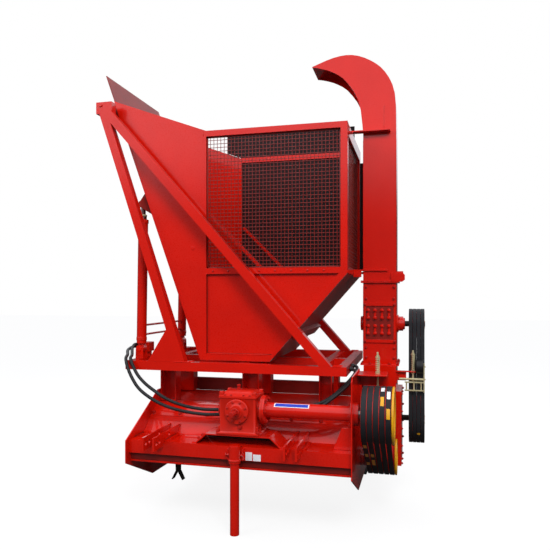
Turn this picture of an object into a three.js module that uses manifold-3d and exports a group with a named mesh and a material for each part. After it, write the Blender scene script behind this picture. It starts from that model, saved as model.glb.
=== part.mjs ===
// A mounted flail forage harvester with a high side-tipping mesh hopper, in millimetres.
// X runs to the right as the machine is met from its drawbar side, Y runs back from the front beam,
// and Z is up from the ground. The origin is the middle of the parking leg's foot.
import * as THREE from "three";
import { mergeVertices } from "three/addons/utils/BufferGeometryUtils.js";
import Module from "manifold-3d";

const wasm = await Module();
wasm.setup();

// ---------- Driving dimensions ----------

// fits
const seatGap = 0.3; // between faces that bear on each other
const pinGap = 0.8; // round a pin or shaft in its bore
const runGap = 6; // between a moving piece and its neighbour

// header: the flail housing that the rest stands on
const headerLeft = -740; // outer faces of the side plates
const headerRight = 718;
const sidePlate = 8;
const hoodSheet = 5;
const beamFront = 38; // front face of the beam, behind the parking leg
const beamBack = 98;
const beamBottom = 445;
const beamTop = 530;
const rotorY = 550;
const rotorZ = 390;
const rotorTube = 70;
const knifeSweep = 272;
const hoodInside = 306; // hood radius about the rotor
const augerY = 880;
const augerZ = 585;
const augerFlight = 100;
const troughInside = 132;
const headerRear = 1120;

// input drive
const shaftY = 150; // cross shaft between gearbox and belt drive
const shaftZ = 745;
const gearboxHalf = 120;
const gearboxFront = 48;
const gearboxBack = 245;
const gearboxFoot = 596; // top of the bridge
const gearboxTop = 840;
const ptoRadius = 17.5;
const ptoReach = 118; // stub shaft ahead of the gearbox cover
const driveTube = 47.5;
const driveFlange = 90;

// five-groove belt drive to the rotor
const frontBeltLeft = 762;
const frontBeltWidth = 182;
const bigSheave = 165;
const smallSheave = 108;
const beltThick = 8;
const tensionerZ = shaftZ + bigSheave + 52; // bracket over the belts' upper run
const beltGap = 1.5; // belt over sheave

// three-groove belt drive between blower and chopper
const rearBeltLeft = 1024;
const rearBeltWidth = 112;
const blowerSheave = 160;
const chopperSheave = 98;
const chopperZ = 1260;

// duct
const ductLeft = 712;
const ductRight = 942;
const ductFront = 750;
const ductBack = 1000;
const ductWall = 4;
const blowerBottom = 255;
const blowerTop = 970;
const blowerFront = 706;
const blowerBack = 1075;
const ductSplit = 1560; // where the upper duct leaves the lower one
const ductTop = 2610;
const spoutTip = 344;

// base frame and its triangles
const frameTube = 60;
const frameBottom = 951;
const frameLeft = -884;
const frameRight = 652;
const frontBeamY = 300; // middle of the front beam
const rearBeamY = 1330;
const crossBeamY = 760;
const apexX = -1076;
const apexZ = 2800;
const legFootX = -445;
const braceFootX = 594;
const hingePin = 18;
const hingeTube = 30;

// hopper
const hopperFront = 380;
const hopperBack = 1250;
const hopperBottom = frameBottom + frameTube + runGap;
const hopperTop = 2600;
const hopperRight = 645;
const hopperTube = 40;
const floorLeft = -375;
const floorRight = 118;
const slopeTop = 1610;
const wingTop = 2860;
const wingRight = -331;
const wallSheet = 6;
const wallLean = 0.3579; // left wall: run over rise
const lipTop = 3050;

// tipping cylinders
const cylinderInset = 70; // cylinder axis behind the hopper's face
const footPinX = -854;
const footPinRise = 67; // cylinder foot pin above the base frame
const footPinZ = frameBottom + frameTube + footPinRise;
const eyePinX = -838;
const eyePinZ = 2120;
const barrelRadius = 35;
const sleeveRadius = 25;
const rodRadius = 17;
const eyeHalf = 18; // half the width of a cylinder's eye
const eyeRadius = 30;
const cylinderPin = 14;

// wheels and leg
const wheelRadius = 252;
const wheelY = 1400;
const wheelX = 620;
const tyreWidth = 145;
const rimRadius = 127;
const legRadius = 28.5;
const legTop = 550;

const frameTop = frameBottom + frameTube;
const hoodTop = rotorZ + hoodInside + hoodSheet;
const troughTop = augerZ + troughInside + hoodSheet;
const guardTop = troughTop + 90; // folded sheet behind the posts
const bladeRows = [102, 222, 342]; // degrees from straight up, towards the front
const bladesPerRow = 6;
const bladeMargin = 56; // first knife's middle from the tube's end
const endPair = 116; // a further pair of knives near the left end, one up and one down

// ---------- Materials ----------

const material = (color, roughness, metalness) =>
  new THREE.MeshStandardMaterial({ color, roughness, metalness });
const red = material(0xc81808, 0.35, 0.1);
const darkRed = material(0x7a1410, 0.5, 0.1);
const black = material(0x1a1a1c, 0.8, 0);
const steel = material(0x9a9a98, 0.35, 0.9);
const yellow = material(0xd9a012, 0.4, 0.3);
const bladeSteel = material(0x3a3634, 0.6, 0.7);

// ---------- Shape helpers ----------

// A closed three.js geometry as a solid that can be joined and cut.
function solid(geometry) {
  const flat = geometry.index ? geometry.toNonIndexed() : geometry.clone();
  flat.deleteAttribute("normal");
  flat.deleteAttribute("uv");
  const merged = mergeVertices(flat, 1e-4);
  const mesh = new wasm.Mesh({
    numProp: 3,
    vertProperties: new Float32Array(merged.attributes.position.array),
    triVerts: new Uint32Array(merged.index.array),
  });
  return new wasm.Manifold(mesh);
}

function join(...solids) {
  return solids.flat().reduce((all, next) => all.add(next));
}

function cut(body, ...tools) {
  return tools.flat().reduce((left, tool) => left.subtract(tool), body);
}

function block(x0, x1, y0, y1, z0, z1) {
  const box = new THREE.BoxGeometry(x1 - x0, y1 - y0, z1 - z0);
  return solid(box.translate((x0 + x1) / 2, (y0 + y1) / 2, (z0 + z1) / 2));
}

const planes = {
  // outline across (Y, Z), pulled along X
  X: new THREE.Matrix4().makeBasis(
    new THREE.Vector3(0, 1, 0),
    new THREE.Vector3(0, 0, 1),
    new THREE.Vector3(1, 0, 0),
  ),
  // outline across (X, Z), pulled along -Y
  Y: new THREE.Matrix4().makeRotationX(Math.PI / 2),
  Z: new THREE.Matrix4(),
};

// An outline pulled along one axis from `from` to `to`. Holes are outlines too.
function prism(axis, outline, from, to, holes = []) {
  const shape = new THREE.Shape(outline.map(([u, v]) => new THREE.Vector2(u, v)));
  shape.holes = holes.map((hole) => new THREE.Path(hole.map(([u, v]) => new THREE.Vector2(u, v))));
  const pulled = new THREE.ExtrudeGeometry(shape, { depth: to - from, bevelEnabled: false });
  pulled.applyMatrix4(planes[axis]);
  const shift = { X: [from, 0, 0], Y: [0, to, 0], Z: [0, 0, from] }[axis];
  return solid(pulled.translate(...shift));
}

// A round bar along X, Y or Z; the centre is given by the other two coordinates in order.
function rod(axis, radius, from, to, centreA, centreB, sides = 24) {
  const bar = new THREE.CylinderGeometry(radius, radius, to - from, sides);
  const middle = (from + to) / 2;
  if (axis === "X") bar.rotateZ(Math.PI / 2).translate(middle, centreA, centreB);
  if (axis === "Y") bar.translate(centreA, middle, centreB);
  if (axis === "Z") bar.rotateX(Math.PI / 2).translate(centreA, centreB, middle);
  return solid(bar);
}

// Points of an arc about (u, v), angles in degrees.
function arc(u, v, radius, fromDeg, toDeg, steps) {
  return Array.from({ length: steps + 1 }, (_, i) => {
    const angle = THREE.MathUtils.degToRad(fromDeg + ((toDeg - fromDeg) * i) / steps);
    return [u + radius * Math.cos(angle), v + radius * Math.sin(angle)];
  });
}

// The outline of a flat bar of a given width between two points.
function barOutline([u0, v0], [u1, v1], width) {
  const length = Math.hypot(u1 - u0, v1 - v0);
  const [du, dv] = [((v1 - v0) / length) * (width / 2), ((u1 - u0) / length) * (width / 2)];
  return [
    [u0 + du, v0 - dv],
    [u1 + du, v1 - dv],
    [u1 - du, v1 + dv],
    [u0 - du, v0 + dv],
  ];
}

// The outline of a sheet that follows a path and lies on its left side.
function sheetOutline(path, thickness) {
  const offset = path.map(([u, v], i) => {
    const before = path[Math.max(i - 1, 0)];
    const after = path[Math.min(i + 1, path.length - 1)];
    const inward = i > 0 ? direction(before, [u, v]) : direction([u, v], after);
    const outward = i < path.length - 1 ? direction([u, v], after) : inward;
    const bisector = new THREE.Vector2().addVectors(inward, outward).normalize();
    const reach = thickness / bisector.dot(inward);
    return [u - bisector.y * reach, v + bisector.x * reach];
  });
  return [...path, ...offset.reverse()];
}

// The outline of a rib on the right side of a line, between two distances along it.
function ribOutline(start, end, from, to, height) {
  const along = direction(start, end);
  const at = (distance, out) => [
    start[0] + along.x * distance + along.y * out,
    start[1] + along.y * distance - along.x * out,
  ];
  return [at(from, -2), at(from, height), at(to, height), at(to, -2)];
}

function direction([u0, v0], [u1, v1]) {
  return new THREE.Vector2(u1 - u0, v1 - v0).normalize();
}

// A disc-shaped body turned about the X axis: profile of [radius, x], closed on the axis.
function turnedX(profile, y, z, sides = 40) {
  const points = profile.map(([radius, x]) => new THREE.Vector2(radius, x));
  const lathe = new THREE.LatheGeometry(points, sides);
  return solid(lathe.rotateZ(-Math.PI / 2).translate(0, y, z));
}

// A hose through points, swept as a round section.
function hose(points, radius) {
  const curve = new THREE.CatmullRomCurve3(points.map((p) => new THREE.Vector3(...p)));
  const section = new THREE.Shape(
    arc(0, 0, radius, 0, 315, 7).map(([u, v]) => new THREE.Vector2(u, v)),
  );
  const steps = Math.round(curve.getLength() / (radius * 5));
  return solid(
    new THREE.ExtrudeGeometry(section, { steps, extrudePath: curve, bevelEnabled: false }),
  );
}

const machine = new THREE.Group();

function place(name, body, finish) {
  const made = body.getMesh();
  const geometry = new THREE.BufferGeometry();
  geometry.setAttribute("position", new THREE.BufferAttribute(made.vertProperties, 3));
  geometry.setIndex(new THREE.BufferAttribute(made.triVerts, 1));
  const mesh = new THREE.Mesh(geometry, finish);
  mesh.name = name;
  machine.add(mesh);
}

// ---------- Header ----------

const plateInLeft = headerLeft + sidePlate;
const plateInRight = headerRight - sidePlate;

// outer line of the hood from the deck over the rotor, round the trough and down behind the rotor
function hoodPath() {
  const outside = hoodInside + hoodSheet;
  const trough = troughInside + hoodSheet;
  return [
    [beamBack + seatGap, beamTop],
    [240, beamTop],
    ...arc(rotorY, rotorZ, outside, 130, 78, 6),
    ...arc(augerY, augerZ, trough, 112, -86, 16),
    ...arc(rotorY, rotorZ, outside + 18, 8, -22, 4),
  ];
}

function headerHood() {
  const inside = hoodPath().reverse();
  return prism(
    "X",
    sheetOutline(inside, hoodSheet),
    plateInLeft + seatGap,
    plateInRight - seatGap,
  );
}

const sideLower = [
  [headerRear, 330],
  [1050, 195],
  [385, 205],
  [0, 383],
];

function sidePlateLeft() {
  const outline = [
    ...sideLower,
    [0, beamTop],
    [385, 736],
    [470, 785],
    [960, 785],
    [headerRear, 660],
  ];
  const bearing = rod("X", 62, headerLeft - 34, headerLeft + 1, rotorY, rotorZ);
  const augerBearing = rod("X", 48, headerLeft - 28, headerLeft + 1, augerY, augerZ);
  const body = prism("X", outline, headerLeft, plateInLeft);
  return cut(
    join(body, bearing, augerBearing),
    rod("X", 25 + pinGap, headerLeft - 20, plateInLeft + 1, rotorY, rotorZ),
    rod("X", 20 + pinGap, headerLeft - 16, plateInLeft + 1, augerY, augerZ),
  );
}

function sidePlateRight() {
  const top = tensionerZ + 23;
  const outline = [
    ...sideLower,
    [0, top - 25],
    [40, top],
    [440, top],
    [640, 800],
    [700, 800],
    [700, 735],
    [headerRear, 735],
  ];
  const body = prism("X", outline, plateInRight, headerRight);
  const boss = rod("X", 62, headerRight - 1, headerRight + 26, rotorY, rotorZ);
  const inputBoss = rod("X", 70, headerRight - 1, headerRight + 26, shaftY, shaftZ);
  return cut(
    join(body, boss, inputBoss),
    rod("X", 25 + pinGap, plateInRight - 1, headerRight + 40, rotorY, rotorZ),
    rod("X", 25 + pinGap, plateInRight - 1, headerRight + 40, shaftY, shaftZ),
    rod("X", 106, plateInRight - 1, headerRight + 1, augerY, augerZ, 32),
  );
}

function frontBeam() {
  const beam = block(
    plateInLeft + seatGap,
    plateInRight - seatGap,
    beamFront,
    beamBack,
    beamBottom,
    beamTop,
  );
  const socket = rod("Z", legRadius + 8, 440, 545, 0, 0, 32);
  const ears = block(-22, 22, 20, beamFront + 1, 450, 525);
  return cut(join(beam, ears, socket), rod("Z", legRadius + pinGap, 400, 600, 0, 0, 32));
}

function frontFlap() {
  const path = [
    [60, beamBottom - seatGap],
    [60, 400],
    [72, 384],
  ];
  return prism("X", sheetOutline(path, 6), plateInLeft + 2, plateInRight - 2);
}

// ---------- Input drive ----------

function gearboxBridge() {
  const path = [
    [-285, beamTop + seatGap],
    [-210, gearboxFoot - seatGap],
    [210, gearboxFoot - seatGap],
    [285, beamTop + seatGap],
  ];
  const bottom = beamTop + seatGap;
  const flange = (from, to) => block(from, to, 52, 238, bottom, bottom + 8);
  const plate = prism("Y", sheetOutline(path, -8), 50, 240);
  const below = block(-400, 400, 0, 300, 400, bottom);
  return cut(join(plate, flange(-302, -270), flange(270, 302)), below);
}

function gearbox() {
  const foot = block(-142, 142, gearboxFront - 4, gearboxBack + 4, gearboxFoot, gearboxFoot + 14);
  const house = block(
    -gearboxHalf,
    gearboxHalf,
    gearboxFront,
    gearboxBack,
    gearboxFoot + 13,
    gearboxTop,
  );
  const lidRise = 32;
  const lid = new THREE.CylinderGeometry(0.72, 1, lidRise, 4, 1);
  lid.rotateX(Math.PI / 2).rotateZ(Math.PI / 4);
  lid.scale(gearboxHalf * Math.SQRT2, ((gearboxBack - gearboxFront) / 2) * Math.SQRT2, 1);
  lid.translate(0, (gearboxFront + gearboxBack) / 2, gearboxTop + lidRise / 2 - 1);
  const breather = rod("Z", 13, gearboxTop + lidRise - 4, gearboxTop + lidRise + 26, -20, shaftY, 12);
  const cover = rod("Y", 76, gearboxFront - 18, gearboxFront + 1, 0, shaftZ, 32);
  const nose = rod("Y", 40, gearboxFront - 30, gearboxFront - 10, 0, shaftZ, 24);
  const outlet = rod("X", driveFlange, gearboxHalf - 1, gearboxHalf + 30, shaftY, shaftZ, 32);
  const cap = rod("X", 66, -gearboxHalf - 16, -gearboxHalf + 1, shaftY, shaftZ, 24);
  const bore = rod("Y", ptoRadius + pinGap, gearboxFront - 40, gearboxFront + 60, 0, shaftZ, 24);
  return cut(join(foot, house, solid(lid), breather, cover, nose, outlet, cap), bore);
}

function ptoShaft() {
  return rod("Y", ptoRadius, gearboxFront - ptoReach, gearboxFront + 55, 0, shaftZ, 24);
}

function driveTubeBody() {
  const from = gearboxHalf + 30 + seatGap;
  const to = plateInRight - seatGap;
  return join(
    rod("X", driveTube, from, to, shaftY, shaftZ, 28),
    rod("X", driveFlange, from, from + 14, shaftY, shaftZ, 32),
    rod("X", driveFlange, to - 14, to, shaftY, shaftZ, 32),
  );
}

// ---------- Lift brackets on the front beam ----------

// two upright drilled plates on a shared foot; they reach ahead of the beam
function liftBracket(left, right) {
  const plateTop = beamTop + 57;
  const outline = [
    [-112, plateTop - 82],
    [-112, plateTop],
    [300, plateTop],
    [245, beamTop + 8],
    [beamFront, beamTop + 8],
    [beamFront - 10, beamTop - 10],
    [10, plateTop - 82],
  ];
  const plate = (x) => prism("X", outline, x, x + 12);
  const bottom = beamTop + seatGap;
  const foot = block(left - 24, right + 36, beamFront + 4, 220, bottom, bottom + 9);
  const bore = (y, z) => rod("X", 12.5, left - 20, right + 40, y, z, 16);
  const bores = [bore(-78, plateTop - 43), bore(-30, plateTop - 41), bore(113, plateTop - 24)];
  return cut(join(plate(left), plate(right), foot), ...bores);
}

// ---------- Base frame ----------

function baseFrame() {
  const half = frameTube / 2;
  const beams = [frontBeamY, crossBeamY, rearBeamY].map((y) =>
    block(frameLeft, frameRight, y - half, y + half, frameBottom, frameTop),
  );
  const longitudinals = [frameLeft + half, -670, -47, 481, frameRight - half].map((x) =>
    block(x - half, x + half, frontBeamY, rearBeamY, frameBottom, frameTop),
  );
  const clevises = cylinderLines.map((y) => footClevis(y));
  return join(beams, longitudinals, clevises);
}

const cylinderLines = [hopperFront + cylinderInset, hopperBack - cylinderInset];

function footClevis(y) {
  const ear = [
    [footPinX - 30, frameTop - 1],
    [footPinX + 30, frameTop - 1],
    ...arc(footPinX, footPinZ, 28, 0, 180, 8),
  ];
  const plates = [y - eyeHalf - 16, y + eyeHalf + 6].map((from) => prism("Y", ear, from, from + 10));
  const pin = rod("Y", cylinderPin, y - eyeHalf - 22, y + eyeHalf + 22, footPinX, footPinZ, 20);
  return join(plates, pin);
}

// posts that carry the base frame on the header, joined by a head plate
function framePost(x, width) {
  const [left, right] = [x - width / 2, x + width / 2];
  const head = block(left, right, 490, 930, frameBottom - 10, frameBottom - seatGap);
  const front = join(
    block(left, left + 8, 500, 590, hoodTop + 1, frameBottom - 5),
    block(right - 8, right, 500, 590, hoodTop + 1, frameBottom - 5),
    block(left, right, 582, 590, hoodTop + 1, frameBottom - 5),
    block(left, right, 500, 590, hoodTop + seatGap, hoodTop + 8),
  );
  const rear = join(
    block(left, right, 836, 924, troughTop + seatGap, troughTop + 10),
    block(left, left + 8, 836, 924, troughTop + 1, frameBottom - 5),
    block(right - 8, right, 836, 924, troughTop + 1, frameBottom - 5),
    block(left, right, 836, 844, troughTop + 1, frameBottom - 5),
  );
  return join(head, front, rear);
}

// a folded sheet along the posts' rear legs, over the auger trough
function rearGuard() {
  const [left, right] = [plateInLeft + seatGap, plateInRight - seatGap];
  const front = 924 + seatGap;
  const sheet = block(left, right, front, front + 5, troughTop - 6, guardTop);
  return join(sheet, block(left, right, front, front + 34, guardTop - 5, guardTop));
}

// a triangular frame: upright leg, long brace and a gusset, with the hinge pin in its flat top
function triangle(y, inward) {
  const half = frameTube / 2;
  const foot = frameTop + seatGap;
  const tubeTo = (x) =>
    prism("Y", barOutline([apexX, apexZ], [x, foot - 90], frameTube), y - half, y + half);
  const leg = tubeTo(legFootX);
  const brace = tubeTo(braceFootX);
  const apexPlate = block(apexX - 36, apexX + 84, y - half, y + half, apexZ - 60, apexZ + 22);
  const gusset = prism(
    "Y",
    [
      [-715, foot],
      [legFootX - 20, foot],
      [-560, 1262],
    ],
    y - half,
    y - half + 8,
  );
  const below = block(-1400, 1000, y - 60, y + 60, 500, foot);
  const pinFrom = inward > 0 ? y : y - half - 75;
  const pinTo = inward > 0 ? y + half + 75 : y;
  const pin = rod("Y", hingePin, pinFrom, pinTo, apexX, apexZ, 24);
  return join(cut(join(leg, brace, gusset), below), apexPlate, pin);
}

// ---------- Duct on the header ----------

function blowerHousing() {
  const outline = [
    [blowerFront, blowerBottom + 40],
    [blowerFront + 60, blowerBottom],
    ...arc(blowerBack - 120, blowerBottom + 120, 120, -90, 0, 5),
    [blowerBack, 800],
    [ductBack + 20, blowerTop],
    [blowerFront, blowerTop],
  ];
  const left = headerRight + seatGap;
  const shell = prism("X", outline, left, ductRight);
  const side = prism(
    "X",
    [
      [blowerFront, blowerBottom + 30],
      [blowerBack - 60, blowerBottom + 30],
      [blowerBack - 60, 800],
      [blowerFront, 800],
    ],
    ductRight - 1,
    ductRight + 36,
  );
  const hollow = prism(
    "X",
    [
      [blowerFront + ductWall, blowerBottom + 45],
      [blowerBack - 60, blowerBottom + 45],
      [blowerBack - ductWall, 795],
      [ductBack - ductWall, blowerTop + 1],
      [ductFront + ductWall, blowerTop + 1],
    ],
    left + ductWall,
    ductRight - ductWall,
  );
  const inlet = rod("X", 106, left - 1, left + ductWall + 1, augerY, augerZ, 32);
  const bore = rod("X", 20 + pinGap, ductRight - 6, ductRight + 60, augerY, augerZ, 24);
  return cut(join(shell, side), hollow, inlet, bore);
}

function ductShell(bottom, top) {
  return cut(
    block(ductLeft, ductRight, ductFront, ductBack, bottom, top),
    block(
      ductLeft + ductWall,
      ductRight - ductWall,
      ductFront + ductWall,
      ductBack - ductWall,
      bottom - 1,
      top + 1,
    ),
  );
}

// a collar round the duct, 10 mm thick
function ductCollar(bottom, proud, thickness) {
  return cut(
    block(
      ductLeft - proud,
      ductRight + proud,
      ductFront - proud,
      ductBack + proud,
      bottom,
      bottom + thickness,
    ),
    block(
      ductLeft + ductWall / 2,
      ductRight - ductWall / 2,
      ductFront + ductWall / 2,
      ductBack - ductWall / 2,
      bottom - 1,
      bottom + thickness + 1,
    ),
  );
}

function ductLower() {
  const midY = (ductFront + ductBack) / 2;
  const shell = join(
    ductShell(blowerTop + seatGap, ductSplit - seatGap),
    ductCollar(blowerTop + seatGap, 18, 8),
    ductCollar(ductSplit - seatGap - 8, 16, 8),
  );
  const window = block(
    ductLeft + 22,
    ductRight - 22,
    ductFront - 1,
    ductFront + ductWall + 1,
    1150,
    1390,
  );
  const bearings = [
    rod("X", 52, ductLeft - 26, ductLeft + 2, midY, chopperZ),
    rod("X", 52, ductRight - 2, ductRight + 44, midY, chopperZ),
  ];
  const bore = rod("X", 20 + pinGap, ductLeft - 20, ductRight + 60, midY, chopperZ);
  return cut(join(cut(shell, window), bearings), bore);
}

function knifePlate() {
  return block(
    ductLeft + 6,
    ductRight - 6,
    ductFront - seatGap - 10,
    ductFront - seatGap,
    1130,
    1410,
  );
}

// ---------- Duct and spout that travel with the hopper ----------

function ductUpper() {
  const shell = join(
    ductShell(ductSplit + seatGap, ductTop),
    ductCollar(ductSplit + seatGap, 16, 8),
  );
  const guide = block(ductRight - 1, ductRight + 46, ductFront - 10, ductFront + 60, 1572, 1632);
  const stay = (z, y) => block(hopperRight + seatGap, ductLeft + 1, y, y + 40, z, z + 10);
  return join(shell, guide, stay(1620, ductFront + 20), stay(1620, ductBack - 60));
}

const spoutOuter = [
  [ductRight, ductTop],
  [932, 2880],
  [865, 3035],
  [760, 3127],
  [633, 3176],
  [500, 3168],
  [spoutTip, 3117],
];
const spoutInner = [
  [ductLeft, ductTop],
  [680, 2844],
  [583, 3000],
  [490, 3067],
  [402, 3100],
  [spoutTip + 2, 3112],
];

function smooth(points, steps) {
  const curve = new THREE.SplineCurve(points.map(([u, v]) => new THREE.Vector2(u, v)));
  return curve.getPoints(steps).map((p) => [p.x, p.y]);
}

function spout() {
  const outer = smooth(spoutOuter, 18);
  const inner = smooth(spoutInner, 14);
  const back = sheetOutline(outer, ductWall);
  const cheek = [...outer, ...inner.slice().reverse()];
  const front = [ductFront, ductFront + ductWall];
  const rear = [ductBack - ductWall, ductBack];
  const lift = seatGap;
  const tab = (to, from, height) =>
    block(hopperRight - 40, to, ductFront - 60, ductFront + 1, from, height);
  const bracket = tab(ductRight - 40, ductTop + lift, ductTop + lift + 8);
  const pad = tab(hopperRight, hopperTop + seatGap, ductTop + lift + 1);
  const body = join(
    prism("Y", back, ductFront, ductBack),
    prism("Y", cheek, ...front),
    prism("Y", cheek, ...rear),
  );
  const trim = block(0, 2000, 0, 2000, 2000, ductTop + lift);
  return join(cut(body, trim), bracket, pad);
}

// ---------- Hopper ----------

const leftWallX = (z) => floorLeft - wallLean * (z - hopperBottom);

function hopperWall(y, facing) {
  const face = (depth, from = 0) => {
    const near = y + facing * from;
    const far = y + facing * (from + depth);
    return [Math.min(near, far), Math.max(near, far)];
  };
  const tube = (outline) => prism("Y", outline, ...face(hopperTube));
  const rails = [
    [
      [wingRight, hopperBottom],
      [floorRight, hopperBottom],
      [floorRight + hopperTube, hopperBottom + 45],
      [wingRight, hopperBottom + 45],
    ],
    [
      [wingRight, slopeTop],
      [hopperRight, slopeTop],
      [hopperRight, slopeTop + hopperTube],
      [wingRight, slopeTop + hopperTube],
    ],
    [
      [wingRight - 20, hopperTop - hopperTube],
      [hopperRight, hopperTop - hopperTube],
      [hopperRight, hopperTop],
      [wingRight - 20, hopperTop],
    ],
    [
      [hopperRight - 45, slopeTop],
      [hopperRight, slopeTop],
      [hopperRight, hopperTop],
      [hopperRight - 45, hopperTop],
    ],
    [
      [wingRight - 30, hopperBottom],
      [wingRight, hopperBottom],
      [wingRight, hopperTop],
      [wingRight - 30, hopperTop],
    ],
    [
      [floorRight - 14, hopperBottom],
      [floorRight + 2, hopperBottom],
      [hopperRight, slopeTop + 2],
      [hopperRight - 56, slopeTop + 2],
    ],
  ];
  const wing = prism(
    "Y",
    [
      [floorLeft, hopperBottom],
      [wingRight, hopperBottom],
      [wingRight, hopperTop],
      [leftWallX(wingTop), wingTop],
    ],
    ...face(wallSheet),
  );
  const panel = prism(
    "Y",
    [
      [wingRight - 10, hopperBottom + 10],
      [floorRight, hopperBottom + 10],
      [hopperRight - 20, slopeTop + 10],
      [wingRight - 10, slopeTop + 10],
    ],
    ...face(5, 20),
  );
  return join(rails.map(tube), wing, panel);
}

// a flat grille: bars both ways in a border; `slab` makes a block from its two in-plane ranges
function grille(slab, u0, u1, v0, v1) {
  const bar = 8;
  const edge = 14;
  const bars = (from, to, bar1) => {
    const count = Math.round((to - from - 2 * edge) / grillePitch);
    const step = (to - from - 2 * edge + bar) / count;
    return Array.from({ length: count - 1 }, (_, i) => bar1(from + edge + (i + 1) * step - bar));
  };
  return join(
    slab(u0, u0 + edge, v0, v1),
    slab(u1 - edge, u1, v0, v1),
    slab(u0, u1, v0, v0 + edge),
    slab(u0, u1, v1 - edge, v1),
    bars(u0, u1, (u) => slab(u, u + bar, v0, v1)),
    bars(v0, v1, (v) => slab(u0, u1, v, v + bar)),
  );
}

const grillePitch = 220;

function hopperGrille(from) {
  return grille(
    (x0, x1, z0, z1) => block(x0, x1, from, from + 4, z0, z1),
    wingRight + seatGap,
    hopperRight - 45 - seatGap,
    slopeTop + hopperTube + seatGap,
    hopperTop - hopperTube - seatGap,
  );
}

const innerFront = hopperFront + hopperTube + seatGap;
const innerBack = hopperBack - hopperTube - seatGap;

function hopperSideFrame() {
  const band = 80;
  return join(
    block(hopperRight - 45, hopperRight, innerFront, innerBack, hopperTop - band, hopperTop),
    block(hopperRight - 45, hopperRight, innerFront, innerBack, slopeTop, slopeTop + hopperTube),
    block(hopperRight - 20, hopperRight, innerFront, innerFront + 20, slopeTop, hopperTop),
    block(hopperRight - 20, hopperRight, innerBack - 20, innerBack, slopeTop, hopperTop),
  );
}

function hopperSideGrille() {
  return grille(
    (y0, y1, z0, z1) => block(hopperRight - 22, hopperRight - 18, y0, y1, z0, z1),
    innerFront + 20 + seatGap,
    innerBack - 20 - seatGap,
    slopeTop + hopperTube + seatGap,
    hopperTop - 80 - seatGap,
  );
}

function hopperFloor() {
  const path = [
    [floorLeft + 9, hopperBottom],
    [floorRight, hopperBottom],
    [hopperRight - 8, slopeTop - 6],
  ];
  const sheet = prism("Y", sheetOutline(path, 5), innerFront, innerBack);
  const rib = prism("Y", ribOutline(path[1], path[2], 215, 295, 30), innerFront + 10, innerBack - 10);
  return join(sheet, rib);
}

function chuteWall() {
  const front = hopperFront + wallSheet + seatGap;
  const back = hopperBack - wallSheet - seatGap;
  const path = [
    [leftWallX(hopperBottom) - seatGap, hopperBottom],
    [leftWallX(lipTop), lipTop],
  ];
  const wall = prism("Y", sheetOutline(path, -wallSheet), front, back);
  const hinge = rod(
    "Y",
    hingeTube,
    frontBeamY + frameTube / 2 + runGap,
    rearBeamY - frameTube / 2 - runGap,
    apexX,
    apexZ,
    24,
  );
  const hinges = cut(
    hinge,
    rod("Y", hingePin + pinGap, frontBeamY, frontBeamY + frameTube / 2 + 90, apexX, apexZ),
    rod("Y", hingePin + pinGap, rearBeamY - frameTube / 2 - 90, rearBeamY, apexX, apexZ),
  );
  const web = [
    [apexX + 18, apexZ - 10],
    [leftWallX(apexZ - 130) + 2, apexZ - 130],
    [leftWallX(apexZ + 60) + 2, apexZ + 60],
    [apexX + 8, apexZ + 14],
  ];
  const webs = [420, 812, 1200].map((y) => prism("Y", web, y, y + 10));
  const ear = (from) =>
    prism(
      "Y",
      [
        [leftWallX(eyePinZ - 90) + 2, eyePinZ - 90],
        [leftWallX(eyePinZ + 90) + 2, eyePinZ + 90],
        ...arc(eyePinX, eyePinZ, 26, 110, 250, 6),
      ],
      from,
      from + 8,
    );
  const ears = cylinderLines.flatMap((y) => [ear(y - eyeHalf - runGap - 8), ear(y + eyeHalf + runGap)]);
  return join(wall, hinges, webs, ears);
}

// ---------- Tipping cylinders ----------

const cylinderLean = Math.atan2(eyePinX - footPinX, eyePinZ - footPinZ);
const closedLength = Math.hypot(eyePinX - footPinX, eyePinZ - footPinZ);

// built upright on the foot pin, then leant to the hopper's ear
function cylinderPart(profile) {
  const lathe = new THREE.LatheGeometry(
    profile.map(([radius, z]) => new THREE.Vector2(radius, z)),
    24,
  );
  return solid(lathe.rotateX(Math.PI / 2));
}

function lean(body, y) {
  const leant = body.rotate([0, THREE.MathUtils.radToDeg(cylinderLean), 0]);
  return leant.translate([footPinX, y, footPinZ]);
}

function ring(height) {
  return join(
    rod("Y", eyeRadius, -eyeHalf, eyeHalf, 0, height, 20),
    block(-18, 18, -eyeHalf, eyeHalf, height, height + barrelFrom + 4),
  );
}

const barrelFrom = 40;
const barrelTo = closedLength - 110;

// the front barrel carries the lines to the rear one
function barrel(y, lines = []) {
  const body = cylinderPart([
    [0, barrelFrom],
    [barrelRadius, barrelFrom],
    [barrelRadius, barrelTo],
    [sleeveRadius + pinGap, barrelTo],
    [sleeveRadius + pinGap, barrelFrom + 40],
    [0, barrelFrom + 40],
  ]);
  const hole = rod("Y", cylinderPin + pinGap, -40, 40, 0, 0, 20);
  return join(lean(cut(join(body, ring(0)), hole), y), lines);
}

function sleeve(y) {
  const from = barrelFrom + 48;
  const to = barrelTo + 26;
  return lean(
    cylinderPart([
      [0, from],
      [sleeveRadius, from],
      [sleeveRadius, to],
      [rodRadius + pinGap, to],
      [rodRadius + pinGap, from + 30],
      [0, from + 30],
    ]),
    y,
  );
}

function pistonRod(y) {
  const shank = cylinderPart([
    [0, barrelFrom + 86],
    [rodRadius, barrelFrom + 86],
    [rodRadius, closedLength - 20],
    [0, closedLength - 20],
  ]);
  const eye = rod("Y", eyeRadius - 4, -eyeHalf, eyeHalf, 0, closedLength, 20);
  const hole = rod("Y", cylinderPin, -40, 40, 0, closedLength, 20);
  return lean(cut(join(shank, eye), hole), y);
}

// ---------- Rotors and sheaves ----------

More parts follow.
